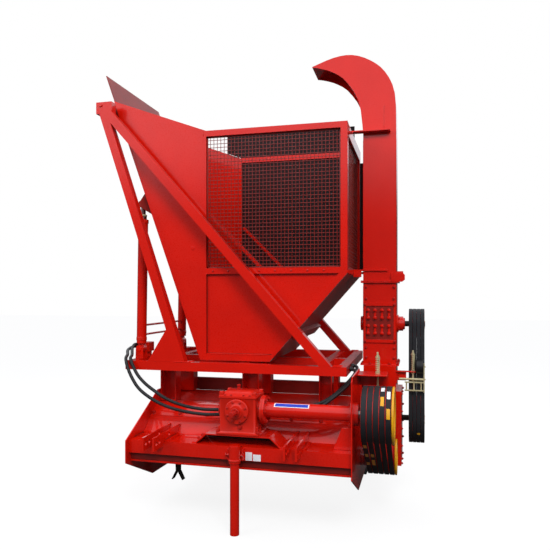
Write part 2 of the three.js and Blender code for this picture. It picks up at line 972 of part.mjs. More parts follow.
function flailRotor() {
  const from = plateInLeft + runGap;
  const to = plateInRight - runGap;
  const tube = rod("X", rotorTube, from, to, rotorY, rotorZ, 20);
  const shaft = rod("X", 25, headerLeft - 14, headerRight + 200, rotorY, rotorZ, 20);
  const blades = [knife(from + endPair, 0), knife(from + endPair, 180)];
  const rows = bladeRows.length;
  const pitch = (to - from - 2 * bladeMargin) / (bladesPerRow - 1 / rows);
  bladeRows.forEach((angle, row) => {
    for (let i = 0; i < bladesPerRow; i++) {
      blades.push(knife(from + bladeMargin + (i + row / rows) * pitch, angle));
    }
  });
  return join(tube, shaft, blades);
}

// a lug with two blades that spread outwards, turned about the rotor's axis
function knife(x, angleDeg) {
  const side = [
    [16, rotorTube - 8],
    [16, 128],
    [14, 204],
    [46, knifeSweep - 5],
    [36, knifeSweep - 3],
    [4, 212],
  ];
  const outline = [...side, ...side.map(([across, out]) => [-across, out]).reverse()];
  const made = prism("Y", outline.map(([across, out]) => [x + across, out]), -20, 20);
  return made.rotate([angleDeg, 0, 0]).translate([0, rotorY, rotorZ]);
}

function sheaveProfile(radius, left, width, hub) {
  return [
    [0, left],
    [radius, left],
    [radius, left + width],
    [radius * 0.82, left + width],
    [radius * 0.78, left + width - 22],
    [hub, left + width - 22],
    [hub, left + width + 4],
    [0, left + width + 4],
  ];
}

function driveSheave() {
  const rim = frontBeltLeft + frontBeltWidth;
  const sheave = sheaveProfile(bigSheave, frontBeltLeft, frontBeltWidth, 45);
  const outerRing = rod("X", bigSheave + 9, rim, rim + 14, shaftY, shaftZ, 36);
  return join(
    turnedX(sheave, shaftY, shaftZ, 36),
    cut(outerRing, rod("X", bigSheave * 0.8, rim - 5, rim + 20, shaftY, shaftZ, 32)),
    rod("X", 25, headerRight - 4, frontBeltLeft + 4, shaftY, shaftZ, 20),
  );
}

function rotorSheave() {
  return cut(
    turnedX(sheaveProfile(smallSheave, frontBeltLeft, frontBeltWidth, 40), rotorY, rotorZ, 32),
    rod("X", 25 + pinGap, frontBeltLeft - 5, headerRight + 204, rotorY, rotorZ, 20),
  );
}

function auger() {
  const from = plateInLeft + runGap;
  const to = ductRight - ductWall - runGap;
  const core = rod("X", 40, from, to, augerY, augerZ, 20);
  const shaft = rod("X", 20, headerLeft - 12, rearBeltLeft + rearBeltWidth, augerY, augerZ, 20);
  return join(core, shaft, flight(from + 4, plateInRight - 20));
}

// a screw flight: a thin ribbon that climbs along X as it turns
function flight(from, to) {
  const pitch = 236;
  const flightSteps = 10;
  const thickness = 6;
  const turns = (to - from - thickness) / pitch;
  const steps = Math.round(turns * flightSteps);
  const positions = [];
  for (let i = 0; i <= steps; i++) {
    const angle = (i / flightSteps) * 2 * Math.PI;
    const x = from + (i / flightSteps) * pitch;
    for (const [radius, shift] of [
      [36, 0],
      [augerFlight, 0],
      [augerFlight, thickness],
      [36, thickness],
    ]) {
      positions.push(
        x + shift,
        augerY + radius * Math.cos(angle),
        augerZ + radius * Math.sin(angle),
      );
    }
  }
  const faces = [];
  for (let i = 0; i < steps; i++) {
    for (let k = 0; k < 4; k++) {
      const [a, b] = [i * 4 + k, i * 4 + ((k + 1) % 4)];
      faces.push(a, a + 4, b, b, a + 4, b + 4);
    }
  }
  const last = steps * 4;
  faces.push(0, 1, 2, 0, 2, 3, last, last + 2, last + 1, last, last + 3, last + 2);
  const ribbon = new THREE.BufferGeometry();
  ribbon.setAttribute("position", new THREE.Float32BufferAttribute(positions, 3));
  ribbon.setIndex(faces);
  return solid(ribbon);
}

// ---------- Belts ----------

// outline of a belt round two sheaves, given as [u, v, radius]
function beltLoop([u0, v0, r0], [u1, v1, r1], extra, steps = 12) {
  const heading = Math.atan2(v1 - v0, u1 - u0);
  const spread = Math.acos((r0 - r1) / Math.hypot(u1 - u0, v1 - v0));
  const deg = THREE.MathUtils.radToDeg;
  return [
    ...arc(u0, v0, r0 + extra, deg(heading + spread), deg(heading - spread) + 360, steps + 8),
    ...arc(u1, v1, r1 + extra, deg(heading - spread), deg(heading + spread), steps),
  ];
}

function belt(first, second, left, width) {
  const inner = beltLoop(first, second, beltGap);
  return prism("X", beltLoop(first, second, beltGap + beltThick), left + 2, left + width - 2, [inner]);
}

const frontBelt = belt(
  [shaftY, shaftZ, bigSheave],
  [rotorY, rotorZ, smallSheave],
  frontBeltLeft,
  frontBeltWidth,
);
const ductMiddle = (ductFront + ductBack) / 2;
const rearBelt = belt(
  [augerY, augerZ, blowerSheave],
  [ductMiddle, chopperZ, chopperSheave],
  rearBeltLeft,
  rearBeltWidth,
);

function blowerSheaveBody() {
  return cut(
    turnedX(sheaveProfile(blowerSheave, rearBeltLeft, rearBeltWidth, 40), augerY, augerZ, 36),
    rod("X", 20 + seatGap, rearBeltLeft - 5, rearBeltLeft + rearBeltWidth + 10, augerY, augerZ, 20),
  );
}

function chopperSheaveBody() {
  return join(
    turnedX(sheaveProfile(chopperSheave, rearBeltLeft, rearBeltWidth, 36), ductMiddle, chopperZ, 32),
    rod("X", 20, ductLeft - 14, rearBeltLeft + 4, ductMiddle, chopperZ, 20),
  );
}

// ---------- Belt tensioners ----------

function frontTensioner() {
  const left = headerRight + seatGap;
  const right = left + 186.7;
  const z = tensionerZ;
  const flange = block(left, right, 250, 430, z, z + 8);
  const web = block(left, right, 422, 430, z - 82, z + 4);
  const rodX = frontBeltLeft + 78;
  const rodY = 352;
  const screw = rod("Z", 7, z - 142, z + 142, rodX, rodY, 12);
  const spring = rod("Z", 15, z + 7, z + 114, rodX, rodY, 16);
  const arm = block(rodX - 10, rodX + 10, rodY - 12, 424, z - 132, z - 116);
  const post = block(rodX - 10, rodX + 10, 412, 428, z - 127, z - 72);
  return join(flange, web, screw, spring, arm, post);
}

function rearTensioner() {
  const wall = ductRight + seatGap;
  const z = 935;
  const y = 716;
  const arm = block(wall, 1076, y - 20, y + 12, z, z + 8);
  const root = block(wall, wall + 8, y - 6, y + 90, z - 80, z + 8);
  const screw = rod("Z", 7, z - 60, z + 150, 1056, y - 4, 12);
  const spring = rod("Z", 14, z + 7, z + 118, 1056, y - 4, 12);
  return join(arm, root, screw, spring);
}

// ---------- Running gear ----------

function wheelAxle() {
  const beam = block(plateInLeft + seatGap, plateInRight - seatGap, 1022, 1102, 560, 640);
  const arm = (side) => {
    const inner = wheelX - tyreWidth / 2 - 44;
    const outline = barOutline([1070, 600], [wheelY, wheelRadius], 70);
    const [a, b] = [side * inner, side * (inner + 14)].sort((p, q) => p - q);
    const axleFrom = side > 0 ? a : -(wheelX + 40);
    const axleTo = side > 0 ? wheelX + 40 : b;
    return join(
      prism("X", outline, a, b),
      rod("X", 38, a, b, wheelY, wheelRadius, 20),
      rod("X", 15, axleFrom, axleTo, wheelY, wheelRadius, 20),
    );
  };
  return join(beam, arm(1), arm(-1));
}

function tyre(x) {
  const half = tyreWidth / 2;
  const profile = [
    [rimRadius + seatGap, x - 55],
    [rimRadius + 14, x - 60],
    [wheelRadius - 55, x - half],
    [wheelRadius - 16, x - half + 8],
    [wheelRadius, x - half + 34],
    [wheelRadius, x + half - 34],
    [wheelRadius - 16, x + half - 8],
    [wheelRadius - 55, x + half],
    [rimRadius + 14, x + 60],
    [rimRadius + seatGap, x + 55],
    [rimRadius + seatGap, x - 55],
  ];
  return turnedX(profile, wheelY, wheelRadius, 28);
}

function rim(x) {
  const side = Math.sign(x);
  const bell = turnedX(
    [
      [0, x - 54],
      [rimRadius, x - 54],
      [rimRadius, x + 54],
      [0, x + 54],
    ],
    wheelY,
    wheelRadius,
    28,
  );
  const dish = (near, far) => {
    const [from, to] = [near, far].sort((p, q) => p - q);
    return rod("X", rimRadius - 10, from, to, wheelY, wheelRadius, 24);
  };
  const hub = rod("X", 36, x - 54, x + 54, wheelY, wheelRadius, 20);
  const bore = rod("X", 15 + pinGap, x - 80, x + 80, wheelY, wheelRadius, 20);
  const outerDish = dish(x + side * 12, x + side * 60);
  const innerDish = dish(x - side * 60, x + side * 4);
  return cut(join(cut(bell, outerDish, innerDish), hub), bore);
}

function parkingLeg() {
  return rod("Z", legRadius, 0, legTop, 0, 0, 32);
}

// ---------- Hydraulics ----------

const hoseRadius = 11;
const valveY = 560;

// the flow divider on the frame's left end, which feeds both tipping cylinders
function flowDivider() {
  const [left, bottom] = [frameLeft, frameTop + seatGap];
  const post = block(left + 10, left + 50, valveY - 18, valveY + 18, bottom, 1052);
  return join(post, block(left + 2, left + 58, valveY - 40, valveY + 40, 1050, 1118));
}

// the junction behind the gearbox, where the hoses of the machine come together
function hoseJunction() {
  const y = gearboxBack + 4 + seatGap;
  return join(block(-92, 92, y, y + 10, 640, 792), block(-92, 92, y + 8, y + 34, 664, 780));
}

// two hoses from the divider over the frame's end and down behind the gearbox
const frontHoseUpper = [
  [frameLeft + 2 - seatGap, valveY - 22, 1098],
  [-906, 538, 1098],
  [-926, 500, 1104],
  [-914, 430, 1088],
  [-862, 322, 1044],
  [-840, 260, 1026],
  [-806, 236, 975],
  [-765, 222, 920],
  [-700, 206, 866],
  [-625, 200, 818],
  [-540, 200, 770],
  [-420, 210, 730],
  [-293, 235, 708],
  [-190, 262, 705],
  [-130, 268, 706],
  [-92 - seatGap, 268, 706],
];
const frontHoseLower = [
  [frameLeft + 2 - seatGap, valveY + 22, 1076],
  [-910, 582, 1076],
  [-948, 530, 1084],
  [-948, 430, 1070],
  [-896, 322, 1046],
  [-872, 254, 1024],
  [-838, 222, 962],
  [-796, 204, 898],
  [-742, 188, 838],
  [-663, 180, 784],
  [-554, 178, 734],
  [-427, 188, 700],
  [-293, 222, 678],
  [-190, 262, 673],
  [-130, 268, 674],
  [-92 - seatGap, 268, 674],
];
// two hoses from the frame's right end, down behind the drive tube to the same junction
const rearHoseUpper = [
  [frameRight + seatGap, 520, 990],
  [674, 520, 990],
  [696, 484, 984],
  [682, 432, 942],
  [640, 384, 892],
  [577, 336, 832],
  [505, 298, 784],
  [420, 276, 756],
  [330, 268, 746],
  [230, 268, 742],
  [140, 268, 741],
  [92 + seatGap, 268, 741],
];
const rearHoseLower = [
  [frameRight + seatGap, 430, 980],
  [674, 430, 980],
  [694, 398, 962],
  [676, 364, 918],
  [632, 334, 868],
  [566, 296, 812],
  [494, 268, 760],
  [405, 258, 724],
  [320, 260, 708],
  [230, 266, 702],
  [140, 268, 701],
  [92 + seatGap, 268, 701],
];

// rigid lines that join the two cylinders' ports; they swing with the barrels
function cylinderLine(height) {
  const [near, far] = cylinderLines;
  const from = near + barrelRadius - 2;
  const to = far - barrelRadius - seatGap;
  return lean(rod("Y", 8, from - near, to - near, 0, height, 12), near);
}

// ---------- The machine ----------

place("header_hood", headerHood(), red);
place("side_plate_left", sidePlateLeft(), red);
place("side_plate_right", sidePlateRight(), red);
place("front_beam", frontBeam(), red);
place("front_flap", frontFlap(), darkRed);
place("gearbox_bridge", gearboxBridge(), red);
place("gearbox", gearbox(), red);
place("pto_shaft", ptoShaft(), steel);
place("drive_tube", driveTubeBody(), red);
place("lift_bracket_left", liftBracket(-565, -495), red);
place("lift_bracket_right", liftBracket(330, 400), red);
place("base_frame", baseFrame(), red);
place("frame_post_left", framePost(-668, 120), red);
place("frame_post_middle", framePost(-47, 120), red);
place("frame_post_right", framePost(481, 90), red);
place("hood_rear_guard", rearGuard(), red);
place("front_triangle", triangle(frontBeamY, 1), red);
place("rear_triangle", triangle(rearBeamY, -1), red);
place("blower_housing", blowerHousing(), red);
place("duct_lower", ductLower(), red);
place("knife_plate", knifePlate(), red);
place("front_belt", frontBelt, black);
place("rear_belt", rearBelt, black);
place("front_tensioner", frontTensioner(), red);
place("rear_tensioner", rearTensioner(), red);
place("wheel_axle", wheelAxle(), red);

place("hopper_front_wall", hopperWall(hopperFront, 1), red);
place("hopper_rear_wall", hopperWall(hopperBack, -1), red);
place("hopper_front_grille", hopperGrille(hopperFront + 18), darkRed);
place("hopper_rear_grille", hopperGrille(hopperBack - 22), darkRed);
place("hopper_side_frame", hopperSideFrame(), red);
place("hopper_side_grille", hopperSideGrille(), darkRed);
place("hopper_floor", hopperFloor(), darkRed);
place("chute_wall", chuteWall(), red);
place("duct_upper", ductUpper(), red);
place("spout", spout(), red);

for (const [side, y] of [["front", cylinderLines[0]], ["rear", cylinderLines[1]]]) {
  const lines = side === "front" ? [cylinderLine(100), cylinderLine(168)] : [];
  place(`${side}_barrel`, barrel(y, lines), red);
  place(`${side}_sleeve`, sleeve(y), steel);
  place(`${side}_rod`, pistonRod(y), steel);
}

place("flail_rotor", flailRotor(), bladeSteel);
place("rotor_sheave", rotorSheave(), yellow);
place("drive_sheave", driveSheave(), yellow);
place("auger", auger(), bladeSteel);
place("blower_sheave", blowerSheaveBody(), yellow);
place("chopper_sheave", chopperSheaveBody(), yellow);
for (const [side, x] of [["left", -wheelX], ["right", wheelX]]) {
  place(`tyre_${side}`, tyre(x), black);
  place(`rim_${side}`, rim(x), yellow);
}
place("parking_leg", parkingLeg(), red);

place("flow_divider", flowDivider(), red);
place("hose_junction", hoseJunction(), darkRed);
place("front_hose_upper", hose(frontHoseUpper, hoseRadius), black);
place("front_hose_lower", hose(frontHoseLower, hoseRadius), black);
place("rear_hose_upper", hose(rearHoseUpper, hoseRadius), black);
place("rear_hose_lower", hose(rearHoseLower, hoseRadius), black);

export default machine;
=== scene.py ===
"""Looks of a mounted flail forage harvester with a side-tipping mesh hopper.

Shapes are worked out in millimetres in the model's own frame: X to the right, Y back, Z up.
"""
import logging
import math
from dataclasses import dataclass
from enum import Enum

import bpy
import numpy as np
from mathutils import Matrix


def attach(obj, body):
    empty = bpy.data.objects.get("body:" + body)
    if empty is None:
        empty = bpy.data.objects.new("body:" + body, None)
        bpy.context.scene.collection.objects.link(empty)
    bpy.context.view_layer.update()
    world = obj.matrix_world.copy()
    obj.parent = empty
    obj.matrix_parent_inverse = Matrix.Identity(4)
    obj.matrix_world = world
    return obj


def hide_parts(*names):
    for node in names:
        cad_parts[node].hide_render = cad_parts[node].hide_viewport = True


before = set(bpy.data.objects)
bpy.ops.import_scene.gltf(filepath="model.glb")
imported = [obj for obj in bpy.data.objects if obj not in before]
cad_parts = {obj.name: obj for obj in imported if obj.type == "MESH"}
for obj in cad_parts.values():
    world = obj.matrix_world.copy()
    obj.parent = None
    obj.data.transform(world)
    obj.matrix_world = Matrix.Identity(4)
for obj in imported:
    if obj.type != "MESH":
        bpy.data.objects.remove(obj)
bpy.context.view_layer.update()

LOG = logging.getLogger("forage_harvester")
MM = 0.001
TAU = 2.0 * math.pi

# Lines of the cross shafts as (Y, Z), in millimetres.
CROSS_SHAFT = (150.0, 745.0)
ROTOR_SHAFT = (550.0, 390.0)
AUGER_SHAFT = (880.0, 585.0)
CHOPPER_SHAFT = (875.0, 1260.0)
WHEEL_AXLE = (1400.0, 252.0)

LONGEST_CUT = 0.45  # share of an edge that a rounded corner may take
SHARPEST_MITRE = 0.35  # least of 1 + cos of a corner's turn, so that a sharp corner isn't pulled far in


# ---------- Colour and material ----------


def linear(code: str) -> tuple[float, float, float, float]:
    """Turn an sRGB hex colour into linear light.

    Args:
        code: six hex digits, such as "C81808".

    Returns:
        Red, green, blue and alpha; below 0.04045 it is c / 12.92, else ((c + 0.055) / 1.055) ^ 2.4.
    """
    srgb = np.array([int(code[i : i + 2], 16) for i in (0, 2, 4)]) / 255.0
    light = np.where(srgb <= 0.04045, srgb / 12.92, ((srgb + 0.055) / 1.055) ** 2.4)
    return (*light.tolist(), 1.0)


def add_node(
    tree: bpy.types.NodeTree, kind: str, values: dict | None = None, **inputs: object
) -> bpy.types.Node:
    """Add one node with its settings and links.

    Args:
        tree: the node tree that it goes into.
        kind: Blender's name for the node type.
        values: the node's own properties.
        inputs: for each socket, a constant or another node's output. A blank in the socket's name is
            written _, and _3 is the socket with index 3.

    Returns:
        The new node.
    """
    node = tree.nodes.new(kind)
    for key, value in (values or {}).items():
        setattr(node, key, value)
    for key, value in inputs.items():
        socket = node.inputs[int(key[1:])] if key[1:].isdigit() else node.inputs[key.replace("_", " ")]
        if isinstance(value, bpy.types.NodeSocket):
            tree.links.new(value, socket)
        else:
            socket.default_value = value
    return node


@dataclass(frozen=True)
class Finish:
    """A surface as it is made: its colour, the drift in that colour, its gloss and its grain."""

    name: str
    slot: str
    colour: str
    tint: str
    roughness: float
    metallic: float = 0.0
    coat: float = 0.0
    coat_roughness: float = 0.05
    drift_mm: float = 260.0  # size of the patches that the tint makes
    drift: float = 0.5  # how far the colour goes to the tint
    grain_mm: float = 4.0  # coarser than real grit or orange peel, so that it shows from a few metres
    grain: float = 0.05  # height of the grain in millimetres
    gloss_spread: float = 0.08
    specular: float = 0.5

    def pattern(self, tree: bpy.types.NodeTree, place: bpy.types.NodeSocket) -> bpy.types.NodeSocket:
        """Work out the share of tint over the surface: soft noise, stretched to 0..1.

        Args:
            tree: the material's nodes.
            place: the piece's Object coordinates.

        Returns:
            The share of tint, from 0 to `drift`.
        """
        noise = add_node(
            tree, "ShaderNodeTexNoise", Vector=place, Scale=1000.0 / self.drift_mm, Detail=4.0, Roughness=0.55
        )
        spread = add_node(
            tree,
            "ShaderNodeMapRange",
            Value=noise.outputs["Fac"],
            From_Min=0.35,
            From_Max=0.72,
            To_Max=self.drift,
        )
        return spread.outputs["Result"]

    def relief(self, tree: bpy.types.NodeTree, place: bpy.types.NodeSocket) -> bpy.types.NodeSocket:
        """Work out the fine height pattern that the bump and the gloss follow: noise as fine as the grain.

        Args:
            tree: the material's nodes.
            place: the piece's Object coordinates.

        Returns:
            The height, from 0 to 1.
        """
        noise = add_node(
            tree, "ShaderNodeTexNoise", Vector=place, Scale=1000.0 / self.grain_mm, Detail=3.0
        )
        return noise.outputs["Fac"]

    def build(self) -> bpy.types.Material:
        """Make the material, unless it is already made: colour drifts to the tint, gloss follows the grain.

        Returns:
            The material.
        """
        made = bpy.data.materials.get(self.name)
        if made:
            return made
        made = bpy.data.materials.new(self.name)
        made.use_nodes = True
        tree = made.node_tree
        tree.nodes.clear()
        place = add_node(tree, "ShaderNodeTexCoord").outputs["Object"]
        height = self.relief(tree, place)
        mix = add_node(
            tree,
            "ShaderNodeMix",
            {"data_type": "RGBA"},
            _0=self.pattern(tree, place),
            _6=linear(self.colour),
            _7=linear(self.tint),
        )
        gloss = add_node(
            tree,
            "ShaderNodeMapRange",
            Value=height,
            From_Min=0.3,
            From_Max=0.7,
            To_Min=max(self.roughness - self.gloss_spread, 0.02),
            To_Max=self.roughness + self.gloss_spread,
        )
        bump = add_node(tree, "ShaderNodeBump", Height=height, Strength=1.0, Distance=self.grain * MM)
        shader = add_node(
            tree,
            "ShaderNodeBsdfPrincipled",
            Base_Color=mix.outputs[2],
            Roughness=gloss.outputs["Result"],
            Metallic=self.metallic,
            Specular_IOR_Level=self.specular,
            Coat_Weight=self.coat,
            Coat_Roughness=self.coat_roughness,
            Normal=bump.outputs["Normal"],
        )
        add_node(tree, "ShaderNodeOutputMaterial", Surface=shader.outputs["BSDF"])
        return made


@dataclass(frozen=True)
class DottedFinish(Finish):
    """A sheet with holes drawn as round dots of a darker tint on a square grid: the dark of the holes is
    painted shade.
    """

    pitch_mm: float = 9.0
    dot: float = 0.34  # dot's radius as a share of the pitch
    mask: tuple[float, float, float] = (1.0, 0.0, 1.0)  # the two axes that lie in the sheet

    def dots(self, tree: bpy.types.NodeTree, place: bpy.types.NodeSocket) -> bpy.types.NodeSocket:
        """Measure the distance to the nearest grid point of the sheet's two coordinates.

        Args:
            tree: the material's nodes.
            place: the piece's Object coordinates.

        Returns:
            The distance, in pitches.
        """
        flat = add_node(tree, "ShaderNodeMapping", Vector=place, Scale=self.mask)
        cells = add_node(
            tree,
            "ShaderNodeTexVoronoi",
            Vector=flat.outputs["Vector"],
            Scale=1000.0 / self.pitch_mm,
            Randomness=0.0,
        )
        return cells.outputs["Distance"]

    def pattern(self, tree: bpy.types.NodeTree, place: bpy.types.NodeSocket) -> bpy.types.NodeSocket:
        """Work out the share of tint: 1 in a dot and 0 between, with a soft edge.

        Args:
            tree: the material's nodes.
            place: the piece's Object coordinates.

        Returns:
            The share of tint, from 0 to 1.
        """
        near = add_node(
            tree,
            "ShaderNodeMapRange",
            Value=self.dots(tree, place),
            From_Min=self.dot,
            From_Max=self.dot + 0.06,
            To_Min=1.0,
            To_Max=0.0,
        )
        return near.outputs["Result"]

    def relief(self, tree: bpy.types.NodeTree, place: bpy.types.NodeSocket) -> bpy.types.NodeSocket:
        """Work out a height that drops into each dot.

        Args:
            tree: the material's nodes.
            place: the piece's Object coordinates.

        Returns:
            The height, from 0.3 to 0.7.
        """
        rise = add_node(
            tree,
            "ShaderNodeMapRange",
            Value=self.dots(tree, place),
            From_Min=self.dot - 0.05,
            From_Max=self.dot + 0.08,
            To_Min=0.3,
            To_Max=0.7,
        )
        return rise.outputs["Result"]


# Baked enamel over steel sheet: deep gloss, faint orange peel.
ENAMEL = Finish(
    "baked_red_enamel", "red_enamel", "D01402", "BC0E02", 0.3, coat=0.9, coat_roughness=0.07, grain_mm=6.0,
    grain=0.03, gloss_spread=0.06, specular=0.25,
)
# The same enamel sprayed over rough iron: the casting's sand grain shows through.
CAST_ENAMEL = Finish(
    "enamelled_cast_iron", "cast", "CE1A04", "B41004", 0.38, coat=0.5, coat_roughness=0.12, grain_mm=2.6,
    grain=0.22,
)
# Red enamel in a darker, duller red than the panels: painted shade, for parts out of the light such as
# recesses, undersides and pieces behind others.
SHADED_DULL_ENAMEL = Finish(
    "dull_red_enamel_painted_shade", "red_enamel", "8E1408", "5C0E08", 0.5, coat=0.15, coat_roughness=0.2, drift_mm=120.0
)
# Near-black paint, lumpy, with a low sheen: painted shade, for a sheet that stands in the dark behind other
# parts.
PAINTED_SHADE_BLACK = Finish(
    "painted_shade_black", "black_paint", "17120F", "2A1A14", 0.55, drift_mm=90.0, grain_mm=3.0, grain=0.3
)
# Yellow enamel over a turned rim: half gloss, a little uneven.
YELLOW = Finish(
    "yellow_sheave_enamel", "yellow_enamel", "E2A40E", "C4820A", 0.36, coat=0.4, drift_mm=60.0, grain_mm=3.0
)
# Vee belts wrapped in rubbered cloth: blue-black and matt.
BELT = Finish(
    "wrapped_belt_rubber", "belt_rubber", "17181B", "26272B", 0.58, drift_mm=70.0, grain_mm=1.6, grain=0.12
)
# Extruded rubber hose: smooth and half matt.
HOSE = Finish(
    "hydraulic_hose_rubber", "hose_rubber", "1A1B1C", "2B2C2E", 0.42, drift_mm=60.0, grain_mm=1.4, grain=0.1
)
# Moulded tyre rubber: matt, with a trace of dust.
TYRE = Finish(
    "moulded_tyre_rubber", "tyre_rubber", "1C1C1C", "2C2A28", 0.68, drift_mm=80.0, grain_mm=2.2, grain=0.2
)
# Sheet rubber under a thin coat of red: darker and duller than the steel beside it.
FLAP = Finish(
    "skirt_rubber", "belt_rubber", "7C130C", "520F09", 0.5, drift_mm=160.0, grain_mm=2.4, grain=0.15
)
# Extruded rubber strip: matt black.
SEAL = Finish(
    "edge_seal_rubber", "belt_rubber", "161415", "241D1C", 0.6, drift_mm=120.0, grain_mm=2.0, grain=0.15
)
# Zinc plate, passivated yellow: a pale brassy sheen in small patches.
ZINC = Finish(
    "yellow_zinc_plate", "bare_steel", "E2D8AE", "C2B27A", 0.36, 0.55, drift_mm=22.0, grain_mm=1.2, grain=0.04
)
# Turned steel, oiled: bright, with fine tool marks.
STEEL = Finish(
    "turned_steel", "bare_steel", "B4B3AE", "8E8C86", 0.3, 1.0, drift_mm=40.0, grain_mm=1.0, grain=0.03
)
# Hard chrome, ground: close to a mirror.
CHROME = Finish(
    "hard_chrome", "chrome", "D2D2D2", "C2C4C6", 0.12, 1.0, drift_mm=80.0, grain_mm=2.0, grain=0.005
)
# Forged blades, worn and rusting: dark metal with brown patches.
BLADE = Finish(
    "forged_blade_steel", "worn_blade", "2B2724", "4A3526", 0.5, 0.7, drift_mm=26.0, grain_mm=1.6, grain=0.18
)
# Fasteners painted over once fitted: darker, the paint thick in their corners.
BOLT = Finish(
    "painted_bolt", "red_enamel", "B81206", "860C05", 0.36, coat=0.4, drift_mm=12.0, grain_mm=1.6, grain=0.05
)
# Dipped black spring paint: even and half matt.
BLACK = Finish(
    "black_spring_paint", "black_paint", "141415", "232325", 0.42, drift_mm=30.0, grain_mm=1.8, grain=0.06
)
# Cut vinyl film: flat colour, smooth and half gloss.
BLUE = Finish("blue_vinyl", "black_paint", "1B38B4", "2A4AC8", 0.3, drift_mm=40.0, grain_mm=1.5, grain=0.01)
WHITE = Finish(
    "white_vinyl", "bare_steel", "E6E6EA", "D2D4DA", 0.35, drift_mm=30.0, grain_mm=1.5, grain=0.01
)
# Woven wire, enamelled: thin paint that lets the dark steel show.
WIRE = Finish(
    "enamelled_wire", "red_enamel", "8A2018", "4A120E", 0.42, coat=0.3, drift_mm=14.0, grain_mm=1.5
)


# ---------- Shapes ----------


class Axis(Enum):
    """The axis that an outline is pulled along or a profile is turned about."""

    X = 0
    Y = 1
    Z = 2


def on_plane(flat: np.ndarray, axis: Axis, depth: np.ndarray | float) -> np.ndarray:
    """Lift (u, v) points into space; u and v keep the order X, Y, Z.

    Args:
        flat: points (..., 2).
        axis: the axis that the plane stands square to.
        depth: the place along that axis, one or one each.

    Returns:
        Points (..., 3).
    """
    depth = np.broadcast_to(np.asarray(depth, float), flat.shape[:-1])
    return np.insert(flat, axis.value, depth, axis=-1)


def circle(radius: float, count: int, u: float = 0.0, v: float = 0.0, start: float = 0.0) -> np.ndarray:
    """Return `count` points (u + r cos t, v + r sin t), t going once round from `start`."""
    angle = start + np.arange(count) / count * TAU
    return np.stack([u + radius * np.cos(angle), v + radius * np.sin(angle)], -1)


def inset(outline: np.ndarray, depth: float) -> np.ndarray:
    """Move each corner inwards: p + d (n0 + n1) / (1 + n0 . n1), n the inward normals of its two edges.

    Args:
        outline: corners (k, 2) in order.
        depth: how far the edges move.

    Returns:
        The smaller outline (k, 2).
    """
    ahead = np.roll(outline, -1, 0) - outline
    area = np.sum(outline[:, 0] * np.roll(outline[:, 1], -1) - outline[:, 1] * np.roll(outline[:, 0], -1))
    unit = ahead / np.linalg.norm(ahead, axis=1, keepdims=True)
    normal = np.stack([-unit[:, 1], unit[:, 0]], -1) * np.sign(area)
    before = np.roll(normal, 1, 0)
    share = 1.0 + np.sum(normal * before, 1, keepdims=True)
    return outline + depth * (normal + before) / np.maximum(share, SHARPEST_MITRE)


def rounded(outline: np.ndarray, radius: float, steps: int = 4) -> np.ndarray:
    """Replace each corner C by the curve (1-t)^2 A + 2t(1-t) C + t^2 B between two points near it.

    Args:
        outline: corners (k, 2) in order.
        radius: distance of A and B from C.
        steps: points on each curve.

    Returns:
        The rounded outline (k * steps, 2).
    """
    start, end = (
        outline + way * np.minimum(radius / np.linalg.norm(way, axis=1, keepdims=True), LONGEST_CUT)
        for way in (np.roll(outline, 1, 0) - outline, np.roll(outline, -1, 0) - outline)
    )
    t = np.linspace(0.0, 1.0, steps)[None, :, None]
    curve = (1 - t) ** 2 * start[:, None] + 2 * t * (1 - t) * outline[:, None] + t**2 * end[:, None]
    return curve.reshape(-1, 2)


def blend(t: np.ndarray, points: tuple, knots: tuple) -> np.ndarray:
    """Go from a to b while t goes from ta to tb: ((tb - t) a + (t - ta) b) / (tb - ta).

    Args:
        t: the parameter of each row.
        points: a and b, rows of points.
        knots: ta and tb of each row.

    Returns:
        The blended rows.
    """
    (a, b), (ta, tb) = points, knots
    return ((tb - t) / (tb - ta))[:, None] * a + ((t - ta) / (tb - ta))[:, None] * b


def spline(points: np.ndarray, spacing: float = 12.0) -> np.ndarray:
    """Run a centripetal Catmull-Rom curve through points; knots grow by the square root of each chord.

    Args:
        points: places (n, 3) on the curve.
        spacing: rough distance between the new points.

    Returns:
        Points along the curve, both ends included.
    """
    ends = np.vstack([2 * points[0] - points[1], points, 2 * points[-1] - points[-2]])
    knots = np.concatenate([[0.0], np.cumsum(np.linalg.norm(np.diff(ends, axis=0), axis=1) ** 0.5)])
    chord = np.linalg.norm(np.diff(points, axis=0), axis=1)
    counts = np.maximum(np.ceil(chord / spacing).astype(int), 2)
    piece = np.repeat(np.arange(len(chord)), counts)
    share = np.concatenate([np.arange(n) / n for n in counts])
    p = [ends[piece + i] for i in range(4)]
    k = [knots[piece + i] for i in range(4)]
    t = k[1] + share * (k[2] - k[1])
    a = [blend(t, (p[i], p[i + 1]), (k[i], k[i + 1])) for i in range(3)]
    b = [blend(t, (a[i], a[i + 1]), (k[i], k[i + 2])) for i in range(2)]
    return np.vstack([blend(t, (b[0], b[1]), (k[1], k[2])), points[-1:]])


def arc_band(centre: tuple[float, float], low: float, high: float, angles: np.ndarray) -> np.ndarray:
    """Outline a curved strip: c + low (cos t, sin t) on the way out, c + high (cos t, sin t) on the way back.

    Args:
        centre: c.
        low: inner radius.
        high: outer radius.
        angles: the values of t, in radians.

    Returns:
        The outline (2n, 2).
    """
    inner, outer = (
        np.stack([centre[0] + r * np.cos(angles), centre[1] + r * np.sin(angles)], -1) for r in (low, high)
    )
    return np.vstack([inner, outer[::-1]])


def bolt_ring(
    axis: Axis, centre: tuple[float, float], radius: float, depth: float, count: int, start: float = 0.0
) -> np.ndarray:
    """Space places evenly on a circle: c + r (cos t, sin t).

    Args:
        axis: the axis that the ring turns about.
        centre: c, in the ring's plane.
        radius: r.
        depth: place along the axis.
        count: number of places.
        start: the first t, in radians.

    Returns:
        Places (count, 3).
    """
    return on_plane(circle(radius, count, *centre, start), axis, depth)


